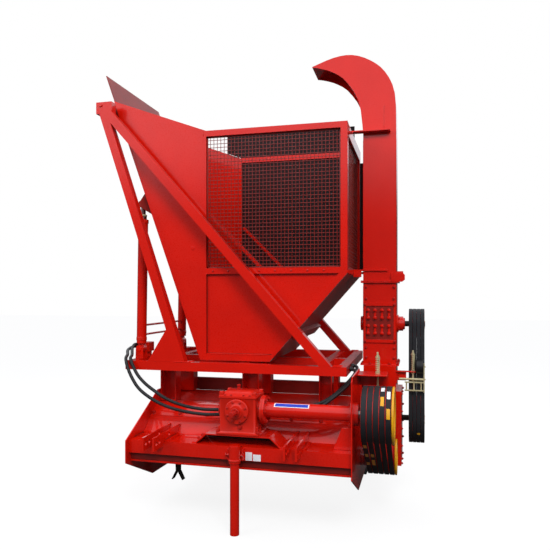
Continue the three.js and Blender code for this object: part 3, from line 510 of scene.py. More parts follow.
def turn_to(axis: np.ndarray) -> np.ndarray:
    """Work out the rotation whose third column is the axis; the others complete a right-handed frame.

    Args:
        axis: a direction of any length.

    Returns:
        The rotation (3, 3).
    """
    w = np.asarray(axis, float) / np.linalg.norm(axis)
    helper = np.array([1.0, 0.0, 0.0]) if abs(w[0]) < 0.9 else np.array([0.0, 1.0, 0.0])
    u = np.cross(helper, w)
    u /= np.linalg.norm(u)
    return np.stack([u, np.cross(w, u), w], -1)


class Shell:
    """Closed surfaces gathered into one mesh. Each is a loft: rings of points, joined and capped."""

    def __init__(self) -> None:
        """Start with no skin."""
        self.points: list[np.ndarray] = []
        self.faces: list[np.ndarray] = []
        self.count = 0

    def loft(self, rings: np.ndarray, closed: bool = False) -> "Shell":
        """Join rings (n, k, 3), or many alike (m, n, k, 3), into closed skins that face outwards.

        Args:
            rings: the rings in order.
            closed: whether the last ring joins the first, instead of both ends being capped.

        Returns:
            This shell.
        """
        rings = np.asarray(rings, float)
        if rings.ndim == 3:
            rings = rings[None]
        m, n, k, _ = rings.shape
        row = np.arange(n if closed else n - 1)[:, None] * k
        here, beside = np.arange(k)[None], (np.arange(k)[None] + 1) % k
        up = (row + k) % (n * k)
        quads = np.stack([row + here, row + beside, up + beside, up + here], -1).reshape(-1, 4)
        centre = rings[0].reshape(-1, 3).mean(0)
        flat = rings[0].reshape(-1, 3) - centre
        a, b, c, d = (flat[quads[:, i]] for i in range(4))
        # Six times the volume, a . (b x c) over the triangles, is negative where the skin faces inwards.
        volume = np.sum(a * np.cross(b, c)) + np.sum(a * np.cross(c, d))
        if not closed:
            for ring, way in ((flat[:k], -1.0), (flat[-k:], 1.0)):
                volume += way * np.sum(ring[0] * np.cross(ring[1:-1], ring[2:]))
        caps = [] if closed else [np.arange(k)[::-1][None], (np.arange(k) + (n - 1) * k)[None]]
        for faces in [quads, *caps]:
            faces = faces[:, ::-1] if volume < 0 else faces
            shift = np.arange(m)[:, None, None] * (n * k) + self.count
            self.faces.append((faces[None] + shift).reshape(-1, faces.shape[1]))
        self.points.append(rings.reshape(-1, 3))
        self.count += m * n * k
        return self

    def plate(self, outline: np.ndarray, axis: Axis, low: float, high: float, edge: float = 1.0) -> "Shell":
        """Pull an outline along an axis, its rims eased by a 45 degree chamfer.

        Args:
            outline: corners (k, 2) in order.
            axis: the axis.
            low: where the plate starts.
            high: where it ends.
            edge: width of the chamfer.

        Returns:
            This shell.
        """
        outline = np.asarray(outline, float)
        small = inset(outline, edge)
        levels = [(small, low), (outline, low + edge), (outline, high - edge), (small, high)]
        return self.loft(np.stack([on_plane(o, axis, w) for o, w in levels]))

    def box(self, low: tuple, high: tuple, edge: float = 2.0, radius: float = 0.0) -> "Shell":
        """Make a block with eased edges.

        Args:
            low: corner with the least X, Y and Z.
            high: the opposite corner.
            edge: width of the eased edge.
            radius: radius of the corners about Z, or 0 for square ones.

        Returns:
            This shell.
        """
        (x0, y0, z0), (x1, y1, z1) = low, high
        outline = np.array([[x0, y0], [x1, y0], [x1, y1], [x0, y1]], float)
        if radius:
            outline = rounded(outline, radius)
        return self.plate(outline, Axis.Z, z0, z1, edge)

    def turned(
        self, profile: list, axis: Axis, u: float, v: float, sides: int = 48, closed: bool = False
    ) -> "Shell":
        """Turn a profile about an axis: rings (u + r cos t, v + r sin t) at each depth.

        Args:
            profile: radius and depth of each ring.
            axis: the axis.
            u: the axis's first coordinate.
            v: its second.
            sides: points round each ring.
            closed: whether the last ring joins the first.

        Returns:
            This shell.
        """
        rings = [on_plane(circle(max(r, 0.05), sides, u, v), axis, w) for r, w in profile]
        return self.loft(np.stack(rings), closed)

    def tube(self, path: np.ndarray, radius: float | np.ndarray, sides: int = 12) -> "Shell":
        """Carry a circle along a path: p + r (s cos t + o sin t), s and o square to the path.

        Args:
            path: points (n, 3).
            radius: r, one or one each.
            sides: points round each ring.

        Returns:
            This shell.
        """
        path = np.asarray(path, float)
        along = np.gradient(path, axis=0)
        along /= np.linalg.norm(along, axis=1, keepdims=True)
        least = int(np.argmin(np.abs(along).max(0)))
        side = np.cross(along, np.eye(3)[least])
        side /= np.linalg.norm(side, axis=1, keepdims=True)
        other = np.cross(along, side)
        wheel = circle(1.0, sides)
        radius = np.broadcast_to(np.asarray(radius, float), len(path))[:, None, None]
        ring = side[:, None] * wheel[None, :, :1] + other[:, None] * wheel[None, :, 1:]
        return self.loft(path[:, None] + ring * radius)

    def copies(self, rings: np.ndarray, places: np.ndarray, axis: np.ndarray) -> "Shell":
        """Put a loft drawn about +Z at each place, turned so that +Z follows the axis.

        Args:
            rings: the loft (n, k, 3).
            places: where the copies stand (m, 3).
            axis: the way that they point.

        Returns:
            This shell.
        """
        turned = rings @ turn_to(axis).T
        places = np.atleast_2d(np.asarray(places, float))
        return self.loft(places[:, None, None] + turned[None])

    def bolts(
        self, places: np.ndarray | list, axis: tuple, across: float = 17.0, stud: float = 6.0
    ) -> "Shell":
        """Add washer, hexagon and rounded stud end at each place, standing up along the axis.

        Args:
            places: where the washers lie (m, 3).
            axis: the way that the studs point.
            across: width of the hexagon.
            stud: how far the stud stands out of it.

        Returns:
            This shell.
        """
        r = across / 2
        washer = [(1.35 * r, 0.0), (1.35 * r, 0.12 * r), (1.25 * r, 0.2 * r)]
        head = [(1.04 * r, 0.2 * r), (1.15 * r, 0.34 * r), (1.15 * r, 0.95 * r), (0.98 * r, 1.1 * r)]
        end = [(0.5 * r, 1.1 * r), (0.5 * r, 1.1 * r + stud), (0.38 * r, 1.2 * r + stud)]
        for sides, profile in ((12, washer), (6, head), (8, end)):
            rings = np.stack([on_plane(circle(a, sides), Axis.Z, h) for a, h in profile])
            self.copies(rings, places, np.asarray(axis, float))
        return self

    def weld(self, start: tuple, end: tuple, radius: float = 5.0) -> "Shell":
        """Lay a bead: a round bar whose radius ripples once a pitch and tapers at both ends.

        Args:
            start: where the bead starts.
            end: where it ends.
            radius: its radius.

        Returns:
            This shell.
        """
        pitch = 7.0
        start, end = np.asarray(start, float), np.asarray(end, float)
        length = np.linalg.norm(end - start)
        t = np.linspace(0.0, 1.0, max(int(length / (pitch / 2)), 4))
        taper = np.clip(np.sin(t * math.pi) * 8, 0.4, 1)
        ripple = radius * (1.0 + 0.12 * np.sin(t * length / pitch * TAU)) * taper
        return self.tube(start + (end - start) * t[:, None], ripple, 6)

    def spring(
        self, axis: Axis, u: float, v: float, low: float, high: float, radius: float, wire: float,
        turns: float,
    ) -> "Shell":
        """Wind a wire: (u + r cos t, v + r sin t) while the depth climbs, flat over the end turns.

        Args:
            axis: the spring's axis.
            u: the axis's first coordinate.
            v: its second.
            low: the spring's lower end.
            high: its upper end.
            radius: r, to the wire's middle.
            wire: the wire's radius.
            turns: number of turns.

        Returns:
            This shell.
        """
        t = np.linspace(0.0, 1.0, int(turns * 16))
        climb = np.clip((t - 0.06) / 0.88, 0.0, 1.0)
        flat = np.stack([u + radius * np.cos(t * turns * TAU), v + radius * np.sin(t * turns * TAU)], -1)
        return self.tube(on_plane(flat, axis, low + wire + climb * (high - low - 2 * wire)), wire, 6)

    def mesh(self, name: str, smooth_deg: float) -> bpy.types.Mesh:
        """Write the gathered skins into a mesh, in metres, with creases left sharp.

        Args:
            name: the mesh's name.
            smooth_deg: the angle between faces above which an edge is a crease.

        Returns:
            The mesh.
        """
        made = bpy.data.meshes.new(name)
        points = np.vstack(self.points) * MM
        corners = np.concatenate([f.ravel() for f in self.faces])
        totals = np.concatenate([np.full(len(f), f.shape[1]) for f in self.faces])
        made.vertices.add(len(points))
        made.vertices.foreach_set("co", points.astype(np.float32).ravel())
        made.loops.add(len(corners))
        made.loops.foreach_set("vertex_index", corners.astype(np.int32))
        made.polygons.add(len(totals))
        made.polygons.foreach_set("loop_start", (np.cumsum(totals) - totals).astype(np.int32))
        made.update(calc_edges=True)
        made.validate()
        made.shade_smooth()
        made.set_sharp_from_angle(angle=math.radians(smooth_deg))
        return made

    def piece(
        self, name: str, finish: Finish, body: str, *replaced: str, smooth_deg: float = 32.0
    ) -> bpy.types.Object:
        """Make the object, dress it, and tie it to its body and to the solids that it stands for.

        Args:
            name: the piece's name.
            finish: its surface.
            body: the body that it rides on.
            replaced: the CAD solids that it stands for.
            smooth_deg: the angle above which an edge stays sharp.

        Returns:
            The object.
        """
        made = bpy.data.objects.new(name, self.mesh(name, smooth_deg))
        bpy.context.scene.collection.objects.link(made)
        made.data.materials.append(finish.build())
        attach(made, body)
        if replaced:
            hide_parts(*replaced)
        LOG.info("%s: %d faces on %s", name, len(made.data.polygons), body)
        return made


def ease(node: str, finish: Finish, edge: float = 2.0) -> None:
    """Dress a CAD solid: join its triangles, ease its edges and shade its round faces smoothly.

    Args:
        node: the solid's name.
        finish: its surface.
        edge: width of the eased edge in millimetres, or 0 for none.
    """
    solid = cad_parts[node]
    solid.material_slots[0].material = finish.build()
    weld = solid.modifiers.new("join", "WELD")
    weld.merge_threshold = 0.02 * MM
    flat = solid.modifiers.new("flat", "DECIMATE")
    flat.decimate_type = "DISSOLVE"
    flat.angle_limit = math.radians(0.6)
    if edge:
        bevel = solid.modifiers.new("edge", "BEVEL")
        bevel.width = edge * MM
        bevel.segments = 2
        bevel.limit_method = "ANGLE"
        bevel.angle_limit = math.radians(35)
        bevel.harden_normals = False
    shade = solid.modifiers.new("shade", "NODES")
    shade.node_group = smooth_group()
    weigh = solid.modifiers.new("weigh", "WEIGHTED_NORMAL")
    weigh.weight = 100
    weigh.keep_sharp = True


def ease_all(finish: Finish, edges: dict[str, float]) -> None:
    """Dress several CAD solids alike.

    Args:
        finish: their surface.
        edges: each solid's name, with the width of its eased edge.
    """
    for node, edge in edges.items():
        ease(node, finish, edge)


def smooth_group() -> bpy.types.NodeTree:
    """Make the nodes that shade all faces smooth and leave creases over 30 degrees sharp.

    Returns:
        The node group, the one made before if there is one.
    """
    made = bpy.data.node_groups.get("smooth_by_angle")
    if made:
        return made
    made = bpy.data.node_groups.new("smooth_by_angle", "GeometryNodeTree")
    made.interface.new_socket("Geometry", in_out="INPUT", socket_type="NodeSocketGeometry")
    made.interface.new_socket("Geometry", in_out="OUTPUT", socket_type="NodeSocketGeometry")
    start = add_node(made, "NodeGroupInput")
    angle = add_node(made, "GeometryNodeInputMeshEdgeAngle")
    crease = add_node(
        made,
        "FunctionNodeCompare",
        {"data_type": "FLOAT", "operation": "LESS_THAN"},
        _0=angle.outputs["Unsigned Angle"],
        _1=math.radians(30),
    )
    faces = add_node(
        made, "GeometryNodeSetShadeSmooth", {"domain": "FACE"}, Geometry=start.outputs[0], Shade_Smooth=True
    )
    edges = add_node(
        made,
        "GeometryNodeSetShadeSmooth",
        {"domain": "EDGE"},
        Geometry=faces.outputs[0],
        Shade_Smooth=crease.outputs[0],
    )
    add_node(made, "NodeGroupOutput", _0=edges.outputs[0])
    return made


# ---------- Studio ----------


@dataclass(frozen=True)
class Lamp:
    """A soft square lamp: where it hangs, what it faces, its side in metres and its power in watts."""

    name: str
    place: tuple[float, float, float]
    aim: tuple[float, float, float]
    size: float
    power: float

    def build(self) -> None:
        """Hang the lamp, out of sight of mirrors, turned to face its aim."""
        data = bpy.data.lights.new(self.name, "AREA")
        data.size, data.energy = self.size, self.power
        made = bpy.data.objects.new(self.name, data)
        made.visible_glossy = False
        made.location = self.place
        way = np.array(self.place) - np.array(self.aim)
        made.rotation_euler = (math.acos(way[2] / np.linalg.norm(way)), 0.0, math.atan2(way[0], -way[1]))
        bpy.context.scene.collection.objects.link(made)


@dataclass
class Studio:
    """Camera, lamps, floor and surroundings."""

    eye: tuple[float, float, float] = (1.09, -3.35, 1.48)
    turn_deg: float = 14.0
    lens_mm: float = 37.57
    rise: float = 0.0327  # the view is shifted up, with the camera level
    tree_line_deg: float = 6.5
    tree_line_blur_deg: float = 9.0
    floor_half: float = 30.0
    floor_glow: float = 0.86  # share of the floor that shines for the camera alone
    lamps: tuple[Lamp, ...] = (
        Lamp("key", (2.4, -4.4, 5.6), (0.0, 0.5, 1.4), 2.6, 300.0),
        Lamp("fill", (-4.0, -3.6, 4.6), (0.0, 0.6, 1.2), 2.6, 110.0),
        Lamp("back", (-1.5, 5.0, 5.0), (0.0, 0.8, 1.5), 3.0, 90.0),
    )

    def camera(self) -> None:
        """Stand the camera to the right of the drawbar side, level, at eye height."""
        data = bpy.data.cameras.new("camera")
        data.lens, data.sensor_width, data.shift_y = self.lens_mm, 36.0, self.rise
        made = bpy.data.objects.new("camera", data)
        made.location = self.eye
        made.rotation_euler = (math.radians(90), 0.0, math.radians(self.turn_deg))
        bpy.context.scene.collection.objects.link(made)
        bpy.context.scene.camera = made

    def surroundings(self) -> None:
        """Light from a pale sky over a dark tree line; white wherever the camera sees it."""
        world = bpy.data.worlds.new("sky")
        bpy.context.scene.world = world
        world.use_nodes = True
        tree = world.node_tree
        tree.nodes.clear()
        way = add_node(tree, "ShaderNodeTexCoord").outputs["Generated"]
        split = add_node(tree, "ShaderNodeSeparateXYZ", Vector=way)
        level = add_node(
            tree,
            "ShaderNodeMapRange",
            {"interpolation_type": "SMOOTHSTEP"},
            Value=split.outputs["Z"],
            From_Min=math.sin(math.radians(self.tree_line_deg)),
            From_Max=math.sin(math.radians(self.tree_line_deg + self.tree_line_blur_deg)),
            To_Min=0.07,
            To_Max=1.0,
        )
        light = add_node(
            tree, "ShaderNodeBackground", Strength=level.outputs["Result"], Color=linear("F6F8FF")
        )
        seen = add_node(tree, "ShaderNodeBackground", Strength=1.0, Color=(1.0, 1.0, 1.0, 1.0))
        ray = add_node(tree, "ShaderNodeLightPath")
        clear = add_node(
            tree,
            "ShaderNodeMath",
            {"operation": "MAXIMUM"},
            _0=ray.outputs["Is Camera Ray"],
            _1=ray.outputs["Is Transmission Ray"],
        )
        mix = add_node(
            tree, "ShaderNodeMixShader", _0=clear.outputs[0], _1=light.outputs[0], _2=seen.outputs[0]
        )
        add_node(tree, "ShaderNodeOutputWorld", Surface=mix.outputs[0])

    def floor(self) -> None:
        """Lay a pale floor that looks white but throws little light up at the machine."""
        half = self.floor_half
        corners = [(-half, -half, 0), (half, -half, 0), (half, half, 0), (-half, half, 0)]
        data = bpy.data.meshes.new("floor")
        data.from_pydata(corners, [], [(0, 1, 2, 3)])
        made = bpy.data.objects.new("floor", data)
        bpy.context.scene.collection.objects.link(made)
        matt = bpy.data.materials.new("matt_white_floor")
        matt.use_nodes = True
        tree = matt.node_tree
        tree.nodes.clear()
        ray = add_node(tree, "ShaderNodeLightPath")
        tone = add_node(
            tree,
            "ShaderNodeMix",
            {"data_type": "RGBA"},
            _0=ray.outputs["Is Camera Ray"],
            _6=linear("484442"),
            _7=linear("FAFAFA"),
        )
        cover = add_node(tree, "ShaderNodeBsdfDiffuse", Color=tone.outputs[2])
        glow = add_node(tree, "ShaderNodeEmission", Color=(1.0, 1.0, 1.0, 1.0), Strength=1.0)
        share = add_node(
            tree,
            "ShaderNodeMath",
            {"operation": "MULTIPLY"},
            _0=ray.outputs["Is Camera Ray"],
            _1=self.floor_glow,
        )
        mix = add_node(
            tree, "ShaderNodeMixShader", _0=share.outputs[0], _1=cover.outputs[0], _2=glow.outputs[0]
        )
        add_node(tree, "ShaderNodeOutputMaterial", Surface=mix.outputs[0])
        data.materials.append(matt)

    def build(self) -> None:
        """Set up the whole studio."""
        bpy.context.scene.view_settings.view_transform = "Standard"
        self.camera()
        self.surroundings()
        self.floor()
        for lamp in self.lamps:
            lamp.build()
        LOG.info("studio ready")


# ---------- Sub-assemblies ----------


class SubAssembly:
    """A group of pieces that is built and then dressed."""

    def build(self) -> None:
        """Make the group's own pieces."""

    def dress(self) -> None:
        """Finish the group's CAD solids."""


@dataclass(frozen=True)
class Hose:
    """One hydraulic hose along a route, in millimetres."""

    node: str
    route: tuple[tuple[float, float, float], ...]

    def build(self, radius: float = 11.0) -> np.ndarray:
        """Args:
            radius: the hose's radius.

        Returns:
            The centre line, in millimetres.
        """
        line = spline(np.array(self.route, float))
        tube = Shell().tube(line, radius, 16).piece(f"{self.node}_line", HOSE, "chassis", self.node)
        return line


@dataclass
class Hoses(SubAssembly):
    """The four hydraulic hoses, each held at both ends by a swaged ferrule."""

    hoses: tuple[Hose, ...] = (
        Hose(
            "front_hose_upper",
            (
                (-882.3, 538, 1098), (-906, 538, 1098), (-926, 500, 1104), (-914, 430, 1088),
                (-862, 322, 1044), (-840, 260, 1026), (-806, 236, 975), (-765, 222, 920),
                (-700, 206, 866), (-625, 200, 818), (-540, 200, 770), (-420, 210, 730),
                (-293, 235, 708), (-190, 262, 705), (-130, 268, 706), (-92.3, 268, 706),
            ),
        ),
        Hose(
            "front_hose_lower",
            (
                (-882.3, 582, 1076), (-910, 582, 1076), (-948, 530, 1084), (-948, 430, 1070),
                (-896, 322, 1046), (-872, 254, 1024), (-838, 222, 962), (-796, 204, 898),
                (-742, 188, 838), (-663, 180, 784), (-554, 178, 734), (-427, 188, 700),
                (-293, 222, 678), (-190, 262, 673), (-130, 268, 674), (-92.3, 268, 674),
            ),
        ),
        Hose(
            "rear_hose_upper",
            (
                (652.3, 520, 990), (674, 520, 990), (696, 484, 984), (682, 432, 942),
                (640, 384, 892), (577, 336, 832), (505, 298, 784), (420, 276, 756),
                (330, 268, 746), (230, 268, 742), (140, 268, 741), (92.3, 268, 741),
            ),
        ),
        Hose(
            "rear_hose_lower",
            (
                (652.3, 430, 980), (674, 430, 980), (694, 398, 962), (676, 364, 918),
                (632, 334, 868), (566, 296, 812), (494, 268, 760), (405, 258, 724),
                (320, 260, 708), (230, 266, 702), (140, 268, 701), (92.3, 268, 701),
            ),
        ),
    )

    def build(self) -> None:
        """Make the hoses and their ferrules, then the junction's bolts."""
        ferrules = Shell()
        for hose in self.hoses:
            line = hose.build()
            for end in (line[:3], line[::-1][:3]):
                way = (end[1] - end[0]) / np.linalg.norm(end[1] - end[0])
                along = np.array([0.5, 2.0, 20.0, 23.0])[:, None]
                ferrules.tube(end[0] + way * along, np.array([15.0, 16.5, 16.5, 12.0]), 6)
        ferrules.piece("hose_ferrules", BLACK, "chassis")
        places = [(x, 259.5, z) for x in (-82, 82) for z in (650, 786)]
        Shell().bolts(places, (0, 1, 0), 13, 3).piece("junction_bolts", ZINC, "chassis")

    def dress(self) -> None:
        """Finish the blocks that the hoses run to."""
        ease_all(CAST_ENAMEL, {"flow_divider": 3.0, "hose_junction": 3.0})


@dataclass
class WovenPanel:
    """Crimped square wire mesh in a flat border. `across` and `up` are the plane's two axes."""

    name: str
    node: str
    normal: Axis
    depth: float
    across: tuple[float, float]
    up: tuple[float, float]
    pitch: float = 25.0
    wire: float = 2.1  # the wire's radius
    border: float = 9.0

    def wires(self, shell: Shell, along: tuple, beside: tuple, swap: bool) -> None:
        """Lay wires side by side; each weaves with height a (-1)^(i + j) at crossing j.

        Args:
            shell: what the wires go into.
            along: where each wire starts and ends.
            beside: the span that they fill.
            swap: whether they run along the plane's first axis instead of its second.
        """
        count = int(round((beside[1] - beside[0]) / self.pitch))
        steps = int(round((along[1] - along[0]) / self.pitch))
        run = np.linspace(*along, steps + 1)
        place = np.linspace(*beside, count + 1)[1:-1]
        wheel = circle(self.wire, 6)
        i, j = np.meshgrid(np.arange(len(place)), np.arange(len(run)), indexing="ij")
        height = (1.0 if swap else -1.0) * self.wire * 0.95
        weave = height * (1 - 2 * ((i + j) % 2))
        depth_at = self.depth + weave[:, :, None] + wheel[None, None, :, 1]
        along_at = np.broadcast_to(run[None, :, None], depth_at.shape)
        beside_at = np.broadcast_to(place[:, None, None] + wheel[None, None, :, 0], depth_at.shape)
        flat = [along_at, beside_at] if swap else [beside_at, along_at]
        flat.insert(self.normal.value, depth_at)
        shell.loft(np.stack(flat, -1))

    def build(self) -> None:
        """Weave both sets of wires and frame them with flat strips."""
        shell = Shell()
        self.wires(shell, self.up, self.across, False)
        self.wires(shell, self.across, self.up, True)
        (a0, a1), (b0, b1), rim = self.across, self.up, self.border
        strips = [(a0, a0 + rim, b0, b1), (a1 - rim, a1, b0, b1)]
        strips += [(a0, a1, b0, b0 + rim), (a0, a1, b1 - rim, b1)]
        for u0, u1, v0, v1 in strips:
            outline = np.array([[u0, v0], [u1, v0], [u1, v1], [u0, v1]])
            shell.plate(outline, self.normal, self.depth - 2, self.depth + 2, 0.6)
        shell.piece(self.name, WIRE, "hopper", self.node, smooth_deg=50)


@dataclass
class Hopper(SubAssembly):
    """The tipping hopper: sheet walls on square tube, woven wire sides, and dark screens behind the wire that
    are painted shade.
    """

    left: float = -331.0  # the wire sides' left end
    right: float = 600.0
    rail: float = 1650.0  # top of the rail below the wire
    top: float = 2560.0  # underside of the front and rear top tubes
    side_top: float = 2520.0
    upstand_top: float = 2806.0
    walls: tuple[float, float] = (381.0, 1249.0)  # outer faces of the front and rear wall

    def screens(self) -> None:
        """Hang thin dark screens behind the rear and side wire, and stand one above the rear rail: near-black
        and dark red sheets with darker dots, painted shade for the dark seen through the wire.
        """
        left, right, rail, crest = self.left, self.right, self.rail, self.upstand_top
        # Near black and dark red, with darker dots: painted shade, the dark seen through the wire.
        on_y = ("191213", "040303", (1.0, 0.0, 1.0))
        on_x = ("6E1812", "2E0A07", (0.0, 1.0, 1.0))
        rear = [(left, rail), (right, rail), (right, self.top), (left, self.top)]
        side = [(441, rail), (1189, rail), (1189, self.side_top), (441, self.side_top)]
        stand = [(left, 2600.5), (right, 2600.5), (right, crest), (-465, crest), (-465, 2651)]
        for name, (colour, tint, mask), axis, depth, outline in (
            ("rear_screen", on_y, Axis.Y, 1224.0, rear),
            ("side_screen", on_x, Axis.X, 616.0, side),
            ("rear_upstand", on_y, Axis.Y, 1231.0, stand),
        ):
            finish = DottedFinish(f"painted_shade_{name}", "black_paint", colour, tint, 0.55, grain=0.5, mask=mask)
            sheet = Shell().plate(np.array(outline, float), axis, depth, depth + 1.5, 0.4)
            sheet.piece(f"hopper_{name}", finish, "hopper")

    def upstand(self) -> None:
        """Stay the upstand with a rail and four posts, and seal the edge beside the duct."""
        top = self.upstand_top
        stays = Shell().box((-465, 1233, top - 16), (self.right, 1245, top), 1.0)
        for x, foot in ((-462, 2651), (-330, 2600.5), (135, 2600.5), (586, 2600.5)):
            stays.box((x, 1233, foot), (x + 12, 1245, top - 16.2), 1.0)
        stays.piece("hopper_upstand_stays", ENAMEL, "hopper")
        seal = Shell().box((645.4, 1194, 1652), (688, 1198, 2500), 0.8)
        seal.piece("hopper_edge_seal", SEAL, "hopper")

    def welds(self) -> None:
        """Lay the beads of the tube joints and of the panels' lower edges."""
        beads = Shell()
        left, right, rail, top = self.left, self.right, self.rail, self.top
        for y in self.walls:
            for x, z in ((left, rail - 40), (left, rail), (right, rail), (right, top), (left, top)):
                beads.weld((x, y + 2, z), (x, y - 2 + 0.01, z), 4)
            beads.weld((left, y, 1062), (120, y, 1062), 4)
            beads.weld((left - 20, y, top), (left - 20, y, top + 40), 4)
        for z in (1652, self.side_top):
            beads.weld((602, 421, z), (602, 500, z), 4)
        beads.piece("hopper_weld_beads", ENAMEL, "hopper")

    def fittings(self) -> None:
        """Add the round plug, the welds, the panels' lips, the inner braces and the rail's rivets."""
        plug = [(3.0, 377.0), (13.0, 377.0), (15.0, 378.5), (15.0, 380.5), (3.0, 380.5)]
        Shell().turned(plug, Axis.Y, -427, 1792, 24).piece("wing_plug", ENAMEL, "hopper")
        self.welds()
        lips = Shell()
        for y in (396.0, 1229.0):
            lips.box((-330.5, y, 1062.5), (133, y + 5, 1068), 0.8)
            lips.box((-330.5, y, 1068.2), (-325, y + 5, 1609), 0.8)
        # The lips are in the darker enamel: painted shade along the panels' lower edges.
        lips.piece("hopper_panel_lips", SHADED_DULL_ENAMEL, "hopper")
        brace = Shell()
        outline = np.array([[-306, 2030], [-322, 2012], [22, 1664], [56, 1664]], float)
        for y in (423.0, 1201.0):
            brace.plate(outline, Axis.Y, y, y + 6, 0.8)
        brace.piece("hopper_inner_braces", ENAMEL, "hopper")
        dome_profile = ((7, 0), (6.6, 2.2), (4, 3.9), (1, 4.4))
        dome = np.stack([on_plane(circle(r, 12), Axis.Z, h) for r, h in dome_profile])
        rivets = [(x, 380, 1630) for x in range(-280, 600, 110)]
        heads = Shell().copies(dome, rivets, np.array([0.0, -1.0, 0.0]))
        heads.piece("hopper_rail_rivets", BOLT, "hopper", smooth_deg=60)

    def build(self) -> None:
        """Make the wire sides, screens and fittings."""
        across, up = (-330.7, 599.7), (1650.3, 2559.7)
        WovenPanel("front_wire_mesh", "hopper_front_grille", Axis.Y, 400, across, up).build()
        WovenPanel("rear_wire_mesh", "hopper_rear_grille", Axis.Y, 1230, across, up).build()
        across, up = (440.6, 1189.4), (1650.3, 2519.7)
        WovenPanel("side_wire_mesh", "hopper_side_grille", Axis.X, 625, across, up).build()
        self.screens()
        self.upstand()
        self.fittings()

    def dress(self) -> None:
        """Finish the hopper's CAD solids."""
        ease_all(ENAMEL, {"hopper_front_wall": 1.2, "hopper_rear_wall": 1.2, "hopper_side_frame": 2.5})
        # The floor and the chute wall are in the darker enamel: painted shade under and behind the hopper.
        ease_all(SHADED_DULL_ENAMEL, {"hopper_floor": 1.0, "chute_wall": 1.2})


